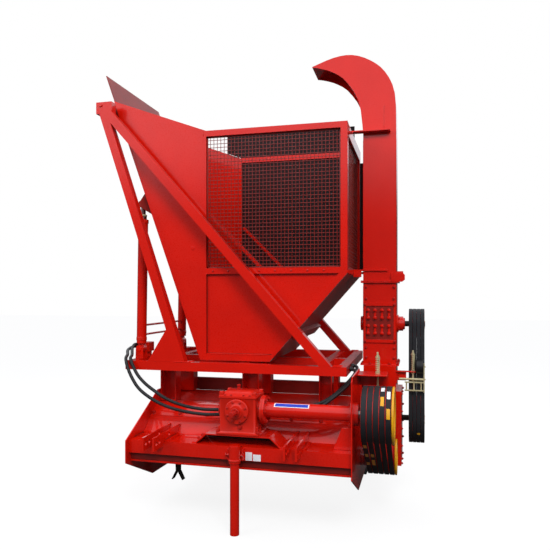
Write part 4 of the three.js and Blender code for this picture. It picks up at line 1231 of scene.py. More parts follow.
@dataclass
class Duct(SubAssembly):
    """The discharge duct: blower housing, lower and upper duct, knife panel and spout."""

    seams: tuple[float, float] = (713.5, 940.5)  # X of the front corners
    seam_y: float = 751.0
    panel: tuple[float, float, float, float] = (718.0, 936.0, 1130.0, 1410.0)  # knife panel: X, then Z
    bar: tuple[float, float] = (12.0, 22.0)  # width of the panel's upright and level bars

    def knife_panel(self) -> None:
        """Frame a recess, painted darker as shade, and clamp eight knives in it, each strap under two nuts.
        """
        (x0, x1, z0, z1), (wide, high) = self.panel, self.bar
        bars = Shell()
        for low, top in ((z0, z0 + high), (z1 - high, z1)):
            bars.box((x0, 740, low), (x1, 749.7, top), 1.2)
        for low in (x0, x1 - wide):
            bars.box((low, 740, z0 + high + 0.2), (low + wide, 749.7, z1 - high - 0.2), 1.2)
        bars.piece("knife_panel_frame", ENAMEL, "chassis", "knife_plate")
        recess = Shell().box((x0 + 10, 746, z0 + 18), (x1 - 10, 749.6, z1 - 18), 0.8)
        # The recess is in the darker enamel: painted shade.
        recess.piece("knife_panel_recess", SHADED_DULL_ENAMEL, "chassis", "knife_plate")
        straps, nuts = Shell(), []
        for x in (748, 796, 844, 892):
            for z in (1222, 1332):
                straps.box((x - 8, 738, z - 34), (x + 8, 745.8, z + 34), 1.5)
                nuts += [(x, 738, z - 26), (x, 738, z + 26)]
        straps.piece("knife_clamp_straps", ENAMEL, "chassis")
        Shell().bolts(nuts, (0, -1, 0), 20, 8).piece("knife_clamp_nuts", ENAMEL, "chassis")

    def flanges(self) -> None:
        """Bolt the duct's flanges: down both front edges, round the knife panel and at the foot."""
        places = [(x, 749.5, z) for x in (733, 925) for z in (1024, 1094, 1440, 1522)]
        places += [(x, 739.5, z) for x in (724, 930) for z in (1142, 1398)]
        bolts = Shell().bolts(places, (0, -1, 0), 15, 3)
        ring = [(x, y) for x in (704, 760, 827, 894, 950) for y in (741, 1009)]
        ring += [(x, y) for x in (703, 951) for y in (815, 935)]
        left_out = (760, 1009)  # no room for a bolt's head here
        bolts.bolts([(x, y, 978.3) for x, y in ring if (x, y) != left_out], (0, 0, 1), 17, 4)
        bolts.piece("duct_flange_bolts", BOLT, "chassis")

    def seam_welds(self, name: str, body: str, low: float, high: float, stub: bool) -> None:
        """Weld both front corners of a length of duct.

        Args:
            name: the piece's name.
            body: the body that it rides on.
            low: where the beads start.
            high: where they end.
            stub: whether the short bead on the spout's foot is laid too.
        """
        beads = Shell()
        for x in self.seams:
            beads.weld((x, self.seam_y, low), (x, self.seam_y, high), 3.0)
        if stub:
            beads.weld((858, 749.5, 2640), (858, 749.5, 2800), 4.5)
        beads.piece(name, ENAMEL, body)

    def fixings(self) -> None:
        """Bolt the flanges, strap the duct to the hopper and weld its seams."""
        self.flanges()
        straps = Shell()
        straps.box((600, 738, 1634), (884, 749.5, 1646), 1.5)
        straps.box((645.5, 738, 1592), (700, 748, 1634), 1.5)
        straps.piece("duct_stay_strap", ENAMEL, "hopper")
        self.seam_welds("duct_seam_welds", "hopper", 1650, 2590, True)
        self.seam_welds("lower_duct_seam_welds", "chassis", 985, 1546, False)
        cover = [[905, 1558], [982, 1558], [1001, 1572], [1001, 1606], [988, 1620], [905, 1620]]
        Shell().plate(np.array(cover), Axis.Y, 732, 739, 1.5).piece("duct_guide_cover", ENAMEL, "hopper")

    def bearings(self) -> None:
        """Turn flanged housings for both ends of the chopper shaft and bolt them on."""
        housings, bolts = Shell(), Shell()
        for x, out, reach in ((942.2, 1.0, 56.0), (711.8, -1.0, 24.0)):
            shape = [
                (21.5, 0), (62, 0), (63, 2), (63, 9), (60, 11), (46, 14), (43, 20), (42, reach - 3),
                (38, reach), (21.5, reach),
            ]
            housings.turned([(r, x + out * h) for r, h in shape], Axis.X, *CHOPPER_SHAFT, 44, closed=True)
            bolts.bolts(bolt_ring(Axis.X, CHOPPER_SHAFT, 53, x + out * 11, 4, TAU / 8), (out, 0, 0), 15, 4)
        housings.piece("chopper_bearings", CAST_ENAMEL, "chassis", smooth_deg=40)
        bolts.piece("chopper_bearing_bolts", BOLT, "chassis")

    def blower_cover(self) -> None:
        """Bolt the blower's side cover along its top, bottom and ends."""
        places = [(978, y, z) for y in (725, 840, 990) for z in (300, 780)]
        places += [(978, y, z) for y in (725, 1000) for z in (420, 540, 660)]
        Shell().bolts(places, (1, 0, 0), 15, 3).piece("blower_cover_bolts", BOLT, "chassis")

    def build(self) -> None:
        """Make the duct's fittings."""
        self.knife_panel()
        self.fixings()
        self.bearings()
        self.blower_cover()

    def dress(self) -> None:
        """Finish the duct's CAD solids."""
        ease_all(ENAMEL, {"blower_housing": 1.0, "duct_lower": 1.0, "duct_upper": 1.0, "spout": 1.0})


@dataclass(frozen=True)
class BeltRun:
    """Vee belts round two sheaves whose axes run along X."""

    name: str
    first: tuple[float, float, float]  # Y, Z and radius
    second: tuple[float, float, float]
    left: float
    width: float
    count: int
    first_steps: int = 40  # points round the first sheave
    second_steps: int = 28
    straight_steps: int = 10  # points between the sheaves, on each side
    mark_half: float = 10.0

    def path(self) -> tuple[np.ndarray, np.ndarray]:
        """Work out the loop: both arcs, c + r (cos t, sin t), joined by straight runs.

        Returns:
            The loop's points on the sheaves' rims and its outward normals, in the YZ plane.
        """
        (u0, v0, r0), (u1, v1, r1) = self.first, self.second
        heading = math.atan2(v1 - v0, u1 - u0)
        spread = math.acos((r0 - r1) / math.hypot(u1 - u0, v1 - v0))
        n, m, gap = self.first_steps, self.second_steps, self.straight_steps
        round_first = np.linspace(heading + spread, heading - spread + TAU, n)
        round_second = np.linspace(heading - spread, heading + spread, m)
        straight = np.linspace(0, 1, gap + 2)[1:-1, None]
        angle = np.concatenate(
            [round_first, np.full(gap, round_second[0]), round_second, np.full(gap, heading + spread)]
        )
        normal = np.stack([np.cos(angle), np.sin(angle)], -1)
        a = np.array([u0, v0]) + r0 * normal[:n]
        b = np.array([u1, v1]) + r1 * normal[n + gap : n + gap + m]
        ahead = a[-1] + (b[0] - a[-1]) * straight
        back = b[-1] + (a[0] - b[-1]) * straight
        return np.vstack([a, ahead, b, back]), normal

    def carry(self, section: np.ndarray, part: slice = slice(None)) -> np.ndarray:
        """Carry a section along the loop: p + h n at each point p with normal n.

        Args:
            section: (x, h) points.
            part: the part of the loop to follow.

        Returns:
            The rings of a loft.
        """
        points, normal = (row[part] for row in self.path())
        lifted = points[:, None] + normal[:, None] * section[None, :, 1:]
        x = np.broadcast_to(section[None, :, 0], lifted.shape[:2])
        return np.concatenate([x[..., None], lifted], -1)

    def middles(self) -> np.ndarray:
        """Return the X of each belt's middle."""
        step = self.width / self.count
        return self.left + step * (np.arange(self.count) + 0.5)

    def build(self, node: str, half: float, deep: float = 15.0) -> None:
        """Make the belts, each a vee with an eased flat back.

        Args:
            node: the CAD solid that they stand for.
            half: half the width of a belt's back.
            deep: its depth.
        """
        shell = Shell()
        outline = [
            (-half * 0.55, 9.5 - deep), (half * 0.55, 9.5 - deep), (half, 7.0), (half * 0.84, 9.2),
            (-half * 0.84, 9.2), (-half, 7.0),
        ]
        for x in self.middles():
            shell.loft(self.carry(np.array(outline) + (x, 0.0)), closed=True)
        shell.piece(f"{self.name}_vee_belts", BELT, "chassis", node)

    def marks(self, name: str, finish: Finish, patches: list) -> None:
        """Stick blank marks on the belts' backs.

        Args:
            name: the piece's name.
            finish: its surface.
            patches: each mark's belt, counted from 0, and slice of the loop.
        """
        shell, half = Shell(), self.mark_half
        outline = np.array([(-half, 8.9), (half, 8.9), (half, 9.5), (-half, 9.5)])
        for number, part in patches:
            shell.loft(self.carry(outline + (self.middles()[number], 0.0), part))
        shell.piece(name, finish, "chassis")


@dataclass
class Sheave:
    """A sheave in cast iron: a grooved rim, a set-back web and a hub held by three screws."""

    name: str  # the CAD solid's, too
    body: str
    centre: tuple[float, float]
    radius: float
    run: BeltRun
    bore: float
    hub: float
    ring: bool = False

    def build(self) -> None:
        """Turn the grooved rim and the outer ring, then bolt the hub."""
        left, right = self.run.left, self.run.left + self.run.width
        r, groove = self.radius, self.radius - 9
        profile = [(self.bore, left), (r + 1, left)]
        step = self.run.width / self.run.count
        for x in self.run.middles():
            profile += [
                (r + 1, x - step / 2 + 0.3), (r + 1, x - step / 2 + 2.6), (groove, x - step / 4),
                (groove, x + step / 4), (r + 1, x + step / 2 - 2.6), (r + 1, x + step / 2 - 0.3),
            ]
        profile += [
            (r + 1, right), (r * 0.83, right), (r * 0.79, right - 22), (self.hub, right - 22),
            (self.hub - 2, right - 3), (self.bore, right - 3),
        ]
        shell = Shell().turned(profile, Axis.X, *self.centre, 64, closed=True)
        shell.piece(f"{self.name}_grooved_rim", CAST_ENAMEL, self.body, self.name)
        if self.ring:
            ring = [
                (r * 0.8, right + 0.2), (r + 6, right + 0.2), (r + 8.5, right + 4), (r + 8.5, right + 11),
                (r + 6, right + 13.5), (r * 0.86, right + 13.5), (r * 0.8, right + 9),
            ]
            outer = Shell().turned(ring, Axis.X, *self.centre, 64, closed=True)
            outer.piece(f"{self.name}_outer_ring", YELLOW, self.body, self.name)
        screws = bolt_ring(Axis.X, self.centre, self.hub - 9, right - 3.3, 3, 0.4)
        Shell().bolts(screws, (1, 0, 0), 11, 0.5).piece(f"{self.name}_hub_screws", ZINC, self.body)


@dataclass
class BeltDrives(SubAssembly):
    """Both belt drives on the right: cross shaft to rotor, and blower to chopper."""

    front: BeltRun = BeltRun("front", (*CROSS_SHAFT, 165), (*ROTOR_SHAFT, 108), 764.0, 178.0, 5)
    rear: BeltRun = BeltRun("rear", (*AUGER_SHAFT, 160), (*CHOPPER_SHAFT, 98), 1026.0, 108.0, 4)

    def shafts(self) -> None:
        """Turn the visible ends of the cross shaft and the chopper shaft."""
        end = [(1, 714.3), (25, 714.3), (25, 948), (23.5, 949.5), (1, 949.5)]
        cross = Shell().turned(end, Axis.X, *CROSS_SHAFT, 40)
        cross.piece("cross_shaft_end", STEEL, "drive_shaft", "drive_sheave")
        end = [(1, 698), (20, 698), (20, 1137), (18.5, 1138.5), (1, 1138.5)]
        chopper = Shell().turned(end, Axis.X, *CHOPPER_SHAFT, 40)
        chopper.piece("chopper_shaft", BLACK, "chopper", "chopper_sheave")

    def build(self) -> None:
        """Make belts, sheaves, shafts and marks."""
        self.front.build("front_belt", 15.4)
        self.rear.build("rear_belt", 13.0)
        Sheave("drive_sheave", "drive_shaft", CROSS_SHAFT, 165, self.front, 25.2, 45, True).build()
        Sheave("rotor_sheave", "flail_rotor", ROTOR_SHAFT, 108, self.front, 26, 40, True).build()
        Sheave("blower_sheave", "auger", AUGER_SHAFT, 160, self.rear, 20.5, 40).build()
        Sheave("chopper_sheave", "chopper", CHOPPER_SHAFT, 98, self.rear, 20.2, 36).build()
        self.shafts()
        yellow = [
            (3, slice(18, 23)), (4, slice(23, 28)), (0, slice(40, 42)), (0, slice(43, 45)),
            (1, slice(43, 45)), (0, slice(46, 48)), (1, slice(45, 48)),
        ]
        self.front.marks("belt_marks_yellow", YELLOW, yellow)
        self.front.marks("belt_marks_white", WHITE, [(3, slice(12, 16)), (4, slice(15, 20))])
        self.rear.marks("rear_belt_marks", YELLOW, [(2, slice(6, 8)), (1, slice(24, 26))])


@dataclass(frozen=True)
class SpringRod:
    """A threaded rod through a coil spring, upright, with round washers and hexagon nuts."""

    place: tuple[float, float]
    coil: tuple[float, float]  # the spring's ends, above the bracket's face
    radius: float
    wire: float
    turns: int
    rod: tuple[float, float]  # the rod's ends, above the bracket's face
    washers: tuple[tuple[float, float, float], ...]  # low, high and radius
    nuts: tuple[tuple[float, float, float], ...]

    def build(self, z: float) -> Shell:
        """Wind the spring, turn the rod and stack its washers and nuts.

        Args:
            z: height of the bracket's lower face.

        Returns:
            The shell with all of them.
        """
        shell = Shell().spring(
            Axis.Z, *self.place, z + self.coil[0], z + self.coil[1], self.radius, self.wire, self.turns
        )
        low, high = z + self.rod[0], z + self.rod[1]
        shell.turned([(1, low), (6.5, low), (6.5, high - 2), (5, high), (1, high)], Axis.Z, *self.place, 16)
        for sides, discs in ((20, self.washers), (6, self.nuts)):
            for low, high, radius in discs:
                outline = circle(radius, sides, *self.place)
                shell.loft(np.stack([on_plane(outline, Axis.Z, z + h) for h in (low, high)]))
        return shell


@dataclass
class Tensioners(SubAssembly):
    """Sprung tensioners over both belt drives."""

    front_face: float = 962.0  # underside of the front bracket
    rear_face: float = 935.0
    front_rod: SpringRod = SpringRod(
        (840.0, 352.0), (14.0, 108.0), 12.5, 3.0, 8, (-142.0, 142.0), ((8.2, 14, 15), (108, 112, 16)),
        ((112.3, 122, 11), (-10, -0.2, 11), (-116, -106, 11)),
    )
    rear_rod: SpringRod = SpringRod(
        (1056.0, 712.0), (12.0, 120.0), 11.0, 2.8, 9, (-60.0, 150.0), ((8.2, 12, 14), (120, 124, 14)),
        ((124.2, 133, 10), (-10, -0.2, 10)),
    )

    def front(self) -> None:
        """Make the front bracket, its spring, screw and nuts."""
        z = self.front_face
        bracket = Shell()
        bracket.box((718.3, 250, z), (904.5, 430, z + 8), 1.5, 14)
        bracket.box((718.3, 422, z - 82), (904.5, 430, z - 0.2), 1.2)
        bracket.box((830, 340, z - 132), (850, 421.8, z - 116), 2)
        bracket.box((830, 412, z - 115.8), (850, 421.8, z - 72), 2)
        bracket.piece("front_tensioner_bracket", ENAMEL, "chassis", "front_tensioner")
        self.front_rod.build(z).piece("front_tensioner_spring", ZINC, "chassis", "front_tensioner")

    def rear(self) -> None:
        """Make the rear bracket, its spring, screw and nuts."""
        z = self.rear_face
        bracket = Shell()
        bracket.box((942.3, 696, z), (1076, 728, z + 8), 1.5, 8)
        bracket.box((942.3, 710, z - 80), (950, 806, z - 0.2), 1.2)
        bracket.box((950.2, 720, z - 60), (1010, 728, z - 0.2), 1.2)
        bracket.piece("rear_tensioner_bracket", ENAMEL, "chassis", "rear_tensioner")
        self.rear_rod.build(z).piece("rear_tensioner_spring", ZINC, "chassis", "rear_tensioner")

    def cage(self) -> None:
        """Make the plated cage beside the rear belts and the jockey wheel behind it."""
        cage = Shell()
        for z in (806, 862):
            cage.box((1000, 699, z), (1125.8, 711, z + 9), 1.2)
        for x in (1012, 1062, 1110):
            cage.turned([(1, 815.2), (5, 815.2), (5, 861.8), (1, 861.8)], Axis.Z, x, 705, 14)
        cage.box((1126, 689, 800), (1134, 705, 1000), 1.2)
        cage.turned([(1, 962), (8, 962), (8, 1125.8), (1, 1125.8)], Axis.X, 705, 888, 20)
        cage.bolts([(1134.2, 705, 888), (1134.2, 697, 976)], (1, 0, 0), 9, 0.3)
        cage.piece("tensioner_cage", ZINC, "chassis")
        wheel = [(8.4, 1078), (44, 1078), (46, 1080), (46, 1123), (44, 1125), (8.4, 1125)]
        Shell().turned(wheel, Axis.X, 697, 976, 40, closed=True).piece("jockey_wheel", BLACK, "chassis")

    def build(self) -> None:
        """Make both tensioners and the cage."""
        self.front()
        self.rear()
        self.cage()


@dataclass
class Gearbox(SubAssembly):
    """The cast bevel gearbox, its covers and plugs, the splined input stub and the cross shaft's tube."""

    middle_y: float = 146.5
    stub_z: float = 745.0
    levels: tuple[tuple[float, float, float, float], ...] = (
        (140, 100, 16, 596.0), (142, 102.4, 16, 598.5), (142, 102.4, 16, 608.0), (139, 99.5, 18, 610.5),
        (121, 97, 16, 612.5), (118, 95, 16, 618.0), (118, 95, 16, 820.0), (120, 98, 14, 824.0),
        (123, 101, 12, 826.0), (123, 101, 12, 838.0), (120, 98, 12, 840.0), (112, 90, 14, 841.0),
        (92, 68, 16, 861.0), (89, 65, 16, 863.0),
    )  # half width, half depth, corner radius and height

    def housing(self) -> None:
        """Loft the rounded casting from its foot through its body to its hipped lid."""
        corner = np.array([[-1.0, -1.0], [1.0, -1.0], [1.0, 1.0], [-1.0, 1.0]])
        rings = [
            on_plane(rounded(corner * (x, y), r, 6) + (0.0, self.middle_y), Axis.Z, z)
            for x, y, r, z in self.levels
        ]
        cast = Shell().loft(np.stack(rings))
        for x in (-106, 106):
            cast.box((x - 14, 52, 839), (x + 14, 82, 864), 3, 8)
            cast.box((x - 14, 214, 839), (x + 14, 240, 860), 3, 8)
        for x in (-124, 124):
            for y in (70, 146, 222):
                cast.box((x - 5, y - 4, 611), (x + 5, y + 4, 650), 2)
        cast.piece("gearbox_casting", CAST_ENAMEL, "chassis", "gearbox", smooth_deg=40)

    def covers(self) -> None:
        """Turn the input cover, the output neck and the side cap."""
        covers = Shell()
        front = [(19, 49), (76, 49), (76, 34), (73, 30.5), (48, 29.5), (41, 26), (39, 18.6), (19, 18.6)]
        covers.turned(front, Axis.Y, 0, self.stub_z, 48, closed=True)
        neck = [(30, 118), (62, 118), (62, 132), (68, 136), (89.5, 136), (90, 148), (88, 149.9), (30, 149.9)]
        covers.turned(neck, Axis.X, *CROSS_SHAFT, 48, closed=True)
        cap = [(1, -118), (66, -118), (66, -130), (62, -134), (30, -136), (1, -136)]
        covers.turned(cap, Axis.X, *CROSS_SHAFT, 40)
        covers.piece("gearbox_covers", CAST_ENAMEL, "chassis", "gearbox", smooth_deg=40)

    def fixings(self) -> None:
        """Bolt the covers, the feet and the lid, and add the breather and the plug."""
        turn = TAU / 16
        bolts = Shell().bolts(bolt_ring(Axis.Y, (0, self.stub_z), 62, 31, 8, turn), (0, -1, 0), 13, 1.5)
        bolts.bolts(bolt_ring(Axis.X, CROSS_SHAFT, 52, -134, 8, turn), (-1, 0, 0), 13, 1.5)
        bolts.bolts(bolt_ring(Axis.X, CROSS_SHAFT, 76, 136, 8, turn), (-1, 0, 0), 15, 2)
        feet = [(x, y, 610.5) for x in (-130, 130) for y in (58, 108, 184, 234)]
        bolts.bolts(feet, (0, 0, 1), 19, 6)
        lid = [(x, y, 840.2) for x in (-80, -40, 40, 80) for y in (55, 238)]
        lid += [(x, y, 840.2) for x in (-114, 114) for y in (110, 146, 182)]
        bolts.bolts(lid, (0, 0, 1), 13, 2)
        bolts.piece("gearbox_bolts", BOLT, "chassis")
        plugs = Shell().bolts([(18.0, 52.5, 648.0)], (0, -1, 0), 24, 0.5)
        breather = [
            (1, 857), (13, 857), (13, 876), (9, 878), (9, 884), (12.5, 886), (12.5, 896), (9, 898), (1, 898)
        ]
        plugs.turned(breather, Axis.Z, -20, 150, 20)
        plugs.piece("gearbox_breather_and_plug", BOLT, "chassis", "gearbox")

    def splines(self, cut: float) -> np.ndarray:
        """Outline six splines: the radius steps between root and crest six times a turn.

        Args:
            cut: how much less the radius is than the full one.

        Returns:
            The outline (72, 2).
        """
        angle = np.arange(72) / 72 * TAU
        crest = (np.cos(6 * angle) > -0.1).astype(float)
        return np.stack([(14.6 + 2.9 * crest - cut) * way for way in (np.cos(angle), np.sin(angle))], -1)

    def stub(self) -> None:
        """Cut the stub's splines, with an eased tip and a round shoulder, and add its seal's boss."""
        levels = [(self.splines(1.6), -70.0), (self.splines(0.0), -67.5), (self.splines(0.0), 8.0)]
        levels += [(self.splines(0.0), 14.0), (circle(17.4, 72), 14.2), (circle(17.4, 72), 102.0)]
        shell = Shell().loft(np.stack([on_plane(o + (0.0, self.stub_z), Axis.Y, y) for o, y in levels]))
        boss = [(17.0, 14.4), (26, 14.4), (27, 12), (27, 0.5), (25, -1.5), (17.6, -1.5)]
        shell.turned(boss, Axis.Y, 0, self.stub_z, 36, closed=True)
        shell.piece("splined_stub", BOLT, "pto_shaft", "pto_shaft", smooth_deg=25)

    def tube_fittings(self) -> None:
        """Bolt both ends of the cross shaft's tube, label it, prop it and close the bridge behind."""
        nuts = Shell().bolts(bolt_ring(Axis.X, CROSS_SHAFT, 74, 695.0, 6), (-1, 0, 0), 17, 4)
        nuts.bolts(bolt_ring(Axis.X, CROSS_SHAFT, 74, 165.0, 6), (1, 0, 0), 17, 4)
        nuts.piece("drive_tube_nuts", BOLT, "chassis")
        border = arc_band(CROSS_SHAFT, 47.6, 48.3, np.radians(np.linspace(108, 146, 14)))
        Shell().plate(border, Axis.X, 219, 441, 0.2).piece("tube_label_border", WHITE, "chassis")
        label = arc_band(CROSS_SHAFT, 48.2, 48.7, np.radians(np.linspace(113, 141, 12)))
        Shell().plate(label, Axis.X, 226, 434, 0.2).piece("tube_label", BLUE, "chassis")
        stand = np.array([[591, 531], [706, 531], [706, 662], [688, 668], [642, 662]], float)
        Shell().plate(stand, Axis.Y, 112, 120, 1.0).piece("tube_end_gusset", ENAMEL, "chassis")
        web = np.array([[-262, 531], [262, 531], [196, 587], [-196, 587]], float)
        # The bridge's rear web is near black: painted shade behind the bridge.
        Shell().plate(web, Axis.Y, 226, 231, 0.8).piece("bridge_rear_web", PAINTED_SHADE_BLACK, "chassis")

    def build(self) -> None:
        """Make the gearbox."""
        self.housing()
        self.covers()
        self.fixings()
        self.stub()
        self.tube_fittings()

    def dress(self) -> None:
        """Finish the bridge and the cross shaft's tube."""
        ease_all(ENAMEL, {"gearbox_bridge": 1.5, "drive_tube": 1.5})


@dataclass
class Header(SubAssembly):
    """The flail housing: hood, side plates, beam, lift brackets and front flap."""

    seam_deg: float = 127.0  # where the hood's seam lies round the rotor, from the back
    seam_radius: float = 313.5

    def fixings(self) -> None:
        """Bolt the hood's seam, square to its skin, and the bridge's feet."""
        turn = math.radians(self.seam_deg)
        way = (0.0, math.cos(turn), math.sin(turn))
        y, z = (place + self.seam_radius * part for place, part in zip(ROTOR_SHAFT, way[1:]))
        bolts = Shell().bolts([(x, y, z) for x in range(-712, 700, 198)], way, 22, 6)
        bolts.bolts([(x, y, 539) for x in (-292, 292) for y in (146, 216)], (0, 0, 1), 17, 4)
        bolts.piece("header_bolts", BOLT, "chassis")

    def trims(self) -> None:
        """Add the hood's seam strap, stiffeners and leg ribs, the flap's strip and two blank plates."""
        strap = arc_band(ROTOR_SHAFT, 310.8, 314.2, np.radians(np.linspace(131, 122, 6)))
        shell = Shell().plate(strap, Axis.X, -731, 709, 0.8)
        for x0, x1 in ((-720, -625), (-430, -310)):
            shell.box((x0, 180, 530.2), (x1, 196, 535), 1.0)
        for x in (-46, 46):
            shell.box((x - 4, 8, 452), (x + 4, 37.8, 522), 1.0)
        shell.piece("hood_seam_strap", ENAMEL, "chassis")
        Shell().box((-728, 55, 386), (706, 60.5, 398), 1.0).piece("flap_strip", ENAMEL, "chassis")
        plates = Shell().box((58, 36.4, 448), (100, 37.8, 500), 0.4)
        plates.box((106, 36.4, 448), (156, 37.8, 488), 0.4)
        plates.piece("blank_plates", WHITE, "chassis")

    def welds(self) -> None:
        """Weld the lift brackets, the side plates' tops and the leg's socket."""
        beads = Shell()
        for x in (-591, -575, -497, -483, 304, 318, 398, 412):
            beads.weld((x, 46, 541), (x, 215, 541), 2.5)
        for x in (-727, 705):
            beads.weld((x, 105, 532), (x, 236, 532), 4)
        beads.weld((-36, 37, 534), (36, 37, 534), 4)
        # The beads are in the darker, duller enamel, which keeps their highlights down: painted shade.
        beads.piece("header_weld_beads", SHADED_DULL_ENAMEL, "chassis")

    def leg_fittings(self) -> None:
        """Turn the collar round the parking leg and the headed pin that locks it."""
        ring = [(29.6, 452), (39, 452), (40.5, 454), (40.5, 462), (39, 464), (29.6, 464)]
        Shell().turned(ring, Axis.Z, 0, 0, 40, closed=True).piece("leg_collar", CAST_ENAMEL, "chassis")
        pin = Shell().turned([(1, -52), (7, -52), (7, 44), (5, 48), (1, 48)], Axis.X, -2, 488, 20)
        pin.turned([(1, -58), (12, -58), (13, -56), (13, -53), (12, -52.2), (1, -52.2)], Axis.X, -2, 488, 20)
        pin.piece("leg_lock_pin", BOLT, "chassis")

    def side_fittings(self) -> None:
        """Cap the rotor's and auger's bearings on the left plate and bolt both caps."""
        caps = Shell()
        for centre, r in ((ROTOR_SHAFT, 62), (AUGER_SHAFT, 48)):
            cap = [
                (1, -772), (r * 0.5, -772), (r * 0.62, -768), (r + 14, -752), (r + 14, -740.3), (1, -740.3)
            ]
            caps.turned(cap, Axis.X, *centre, 40)
        caps.piece("left_bearing_caps", CAST_ENAMEL, "chassis", smooth_deg=40)
        rings = [bolt_ring(Axis.X, *at, -751.5, 4, TAU / 8) for at in ((ROTOR_SHAFT, 66), (AUGER_SHAFT, 54))]
        Shell().bolts(np.vstack(rings), (-1, 0, 0), 17, 4).piece("left_bearing_bolts", BOLT, "chassis")

    def build(self) -> None:
        """Make the header's fittings."""
        self.fixings()
        self.trims()
        self.welds()
        self.leg_fittings()
        self.side_fittings()

    def dress(self) -> None:
        """Finish the header's CAD solids."""
        ease_all(
            ENAMEL,
            {
                "header_hood": 1.0, "side_plate_left": 1.5, "side_plate_right": 1.5, "front_beam": 3.0,
                "lift_bracket_left": 1.5, "lift_bracket_right": 1.5, "parking_leg": 1.5,
            },
        )
        ease("front_flap", FLAP, 1.2)
        ease_all(BLADE, {"flail_rotor": 1.5, "auger": 1.0})


@dataclass
class Frame(SubAssembly):
    """Posts, base frame and the two triangular frames that carry the hopper's hinge."""

    bolt_rows: tuple[float, ...] = (-668.0, -47.0, 481.0)
    posts: tuple[float, ...] = (-670.0, -47.0, 481.0)
    hinge: tuple[float, float] = (-1076.0, 2800.0)

    def welds(self) -> None:
        """Weld the triangles' feet, the posts and the base frame's front and rear corners."""
        beads = Shell()
        for y in (271.5, 328.5, 1301.5, 1358.5):
            for x0, x1 in ((-530, -400), (560, 620)):
                beads.weld((x0, y, 1012.5), (x1, y, 1012.5), 4)
        for x in self.posts:
            for y in (331.5, 1298.5):
                beads.weld((x - 31, y, 953), (x - 31, y, 1009), 4)
                beads.weld((x + 31, y, 953), (x + 31, y, 1009), 4)
        for y in (277, 1307):
            beads.weld((-715, y, 1014), (-470, y, 1014), 4)
        beads.piece("frame_weld_beads", ENAMEL, "chassis")

    def build(self) -> None:
        """Bolt and weld the frame; cap the hinge pins and plug the tubes' ends."""
        bolts = Shell()
        for x in self.bolt_rows:
            for y, z in ((512, 704), (902, 732)):
                bolts.bolts([(x - 24, y, z), (x + 24, y, z)], (0, 0, 1), 15, 4)
        bolts.piece("post_bolts", BOLT, "chassis")
        self.welds()
        caps = Shell()
        for low, high in ((262.5, 269.8), (1360.2, 1367.5)):
            cap = [(1, low), (11, low), (12.5, low + 1.5), (12.5, high), (1, high)]
            caps.turned(cap, Axis.Y, *self.hinge, 28)
        caps.piece("hinge_pin_caps", CAST_ENAMEL, "chassis")
        ends = Shell()
        for y in (300, 1330):
            for x0, x1 in ((-883.9, -881.9), (650.1, 651.9)):
                ends.box((x0, y - 25, 956), (x1, y + 25, 1006), 0.5)
        ends.piece("frame_end_plugs", BLACK, "chassis")

    def dress(self) -> None:
        """Finish the frame's CAD solids."""
        ease_all(ENAMEL, {"base_frame": 3.0, "front_triangle": 3.0, "rear_triangle": 3.0})
        ease_all(ENAMEL, {"frame_post_left": 1.5, "frame_post_middle": 1.5, "frame_post_right": 1.5})
        # The guard behind the hood is in the darker enamel: painted shade.
        ease("hood_rear_guard", SHADED_DULL_ENAMEL, 1.5)


@dataclass
class Cylinders(SubAssembly):
    """Two two-stage tipping cylinders."""

    foot: tuple[float, float] = (-854.0, 1078.0)  # X and Z of the foot pins
    lean: float = math.atan2(16.0, 1042.0)
    lines: tuple[tuple[str, float], ...] = (("front", 450.0), ("rear", 1180.0))  # side and Y

    def place(self, profile: list, y: float) -> np.ndarray:
        """Turn a profile about an upright, lean it about the foot pin and move it to the cylinder's line.

        Args:
            profile: radius and height over the foot pin of each ring.
            y: the cylinder's line.

        Returns:
            The rings of a loft.
        """
        cos, sin = math.cos(self.lean), math.sin(self.lean)
        turn = np.array([[cos, 0, sin], [0, 1, 0], [-sin, 0, cos]])
        upright = np.stack([on_plane(circle(r, 32), Axis.Z, z) for r, z in profile])
        return upright @ turn.T + (self.foot[0], y, self.foot[1])

    def build(self) -> None:
        """Ring each barrel with a gland at its top and a band at its foot; seal each sleeve's top."""
        gland = [(25.9, 905), (37, 905), (39, 907), (39, 930), (36.5, 932), (25.9, 932)]
        band = [(35.2, 60), (37.5, 62), (37.5, 84), (35.2, 86)]
        wiper = [(17.9, 957), (26, 957), (26.8, 958.5), (26.8, 966), (25.5, 967.5), (17.9, 967.5)]
        for side, y in self.lines:
            barrel = Shell().loft(self.place(gland, y), True).loft(self.place(band, y), True)
            barrel.piece(f"{side}_cylinder_gland", CAST_ENAMEL, f"{side}_barrel")
            sleeve = Shell().loft(self.place(wiper, y), True)
            sleeve.piece(f"{side}_cylinder_wiper", ZINC, f"{side}_sleeve")

    def dress(self) -> None:
        """Finish the cylinders' CAD solids."""
        for side, _ in self.lines:
            ease(f"{side}_barrel", ENAMEL, 1.5)
            ease_all(CHROME, {f"{side}_sleeve": 0.8, f"{side}_rod": 0.8})


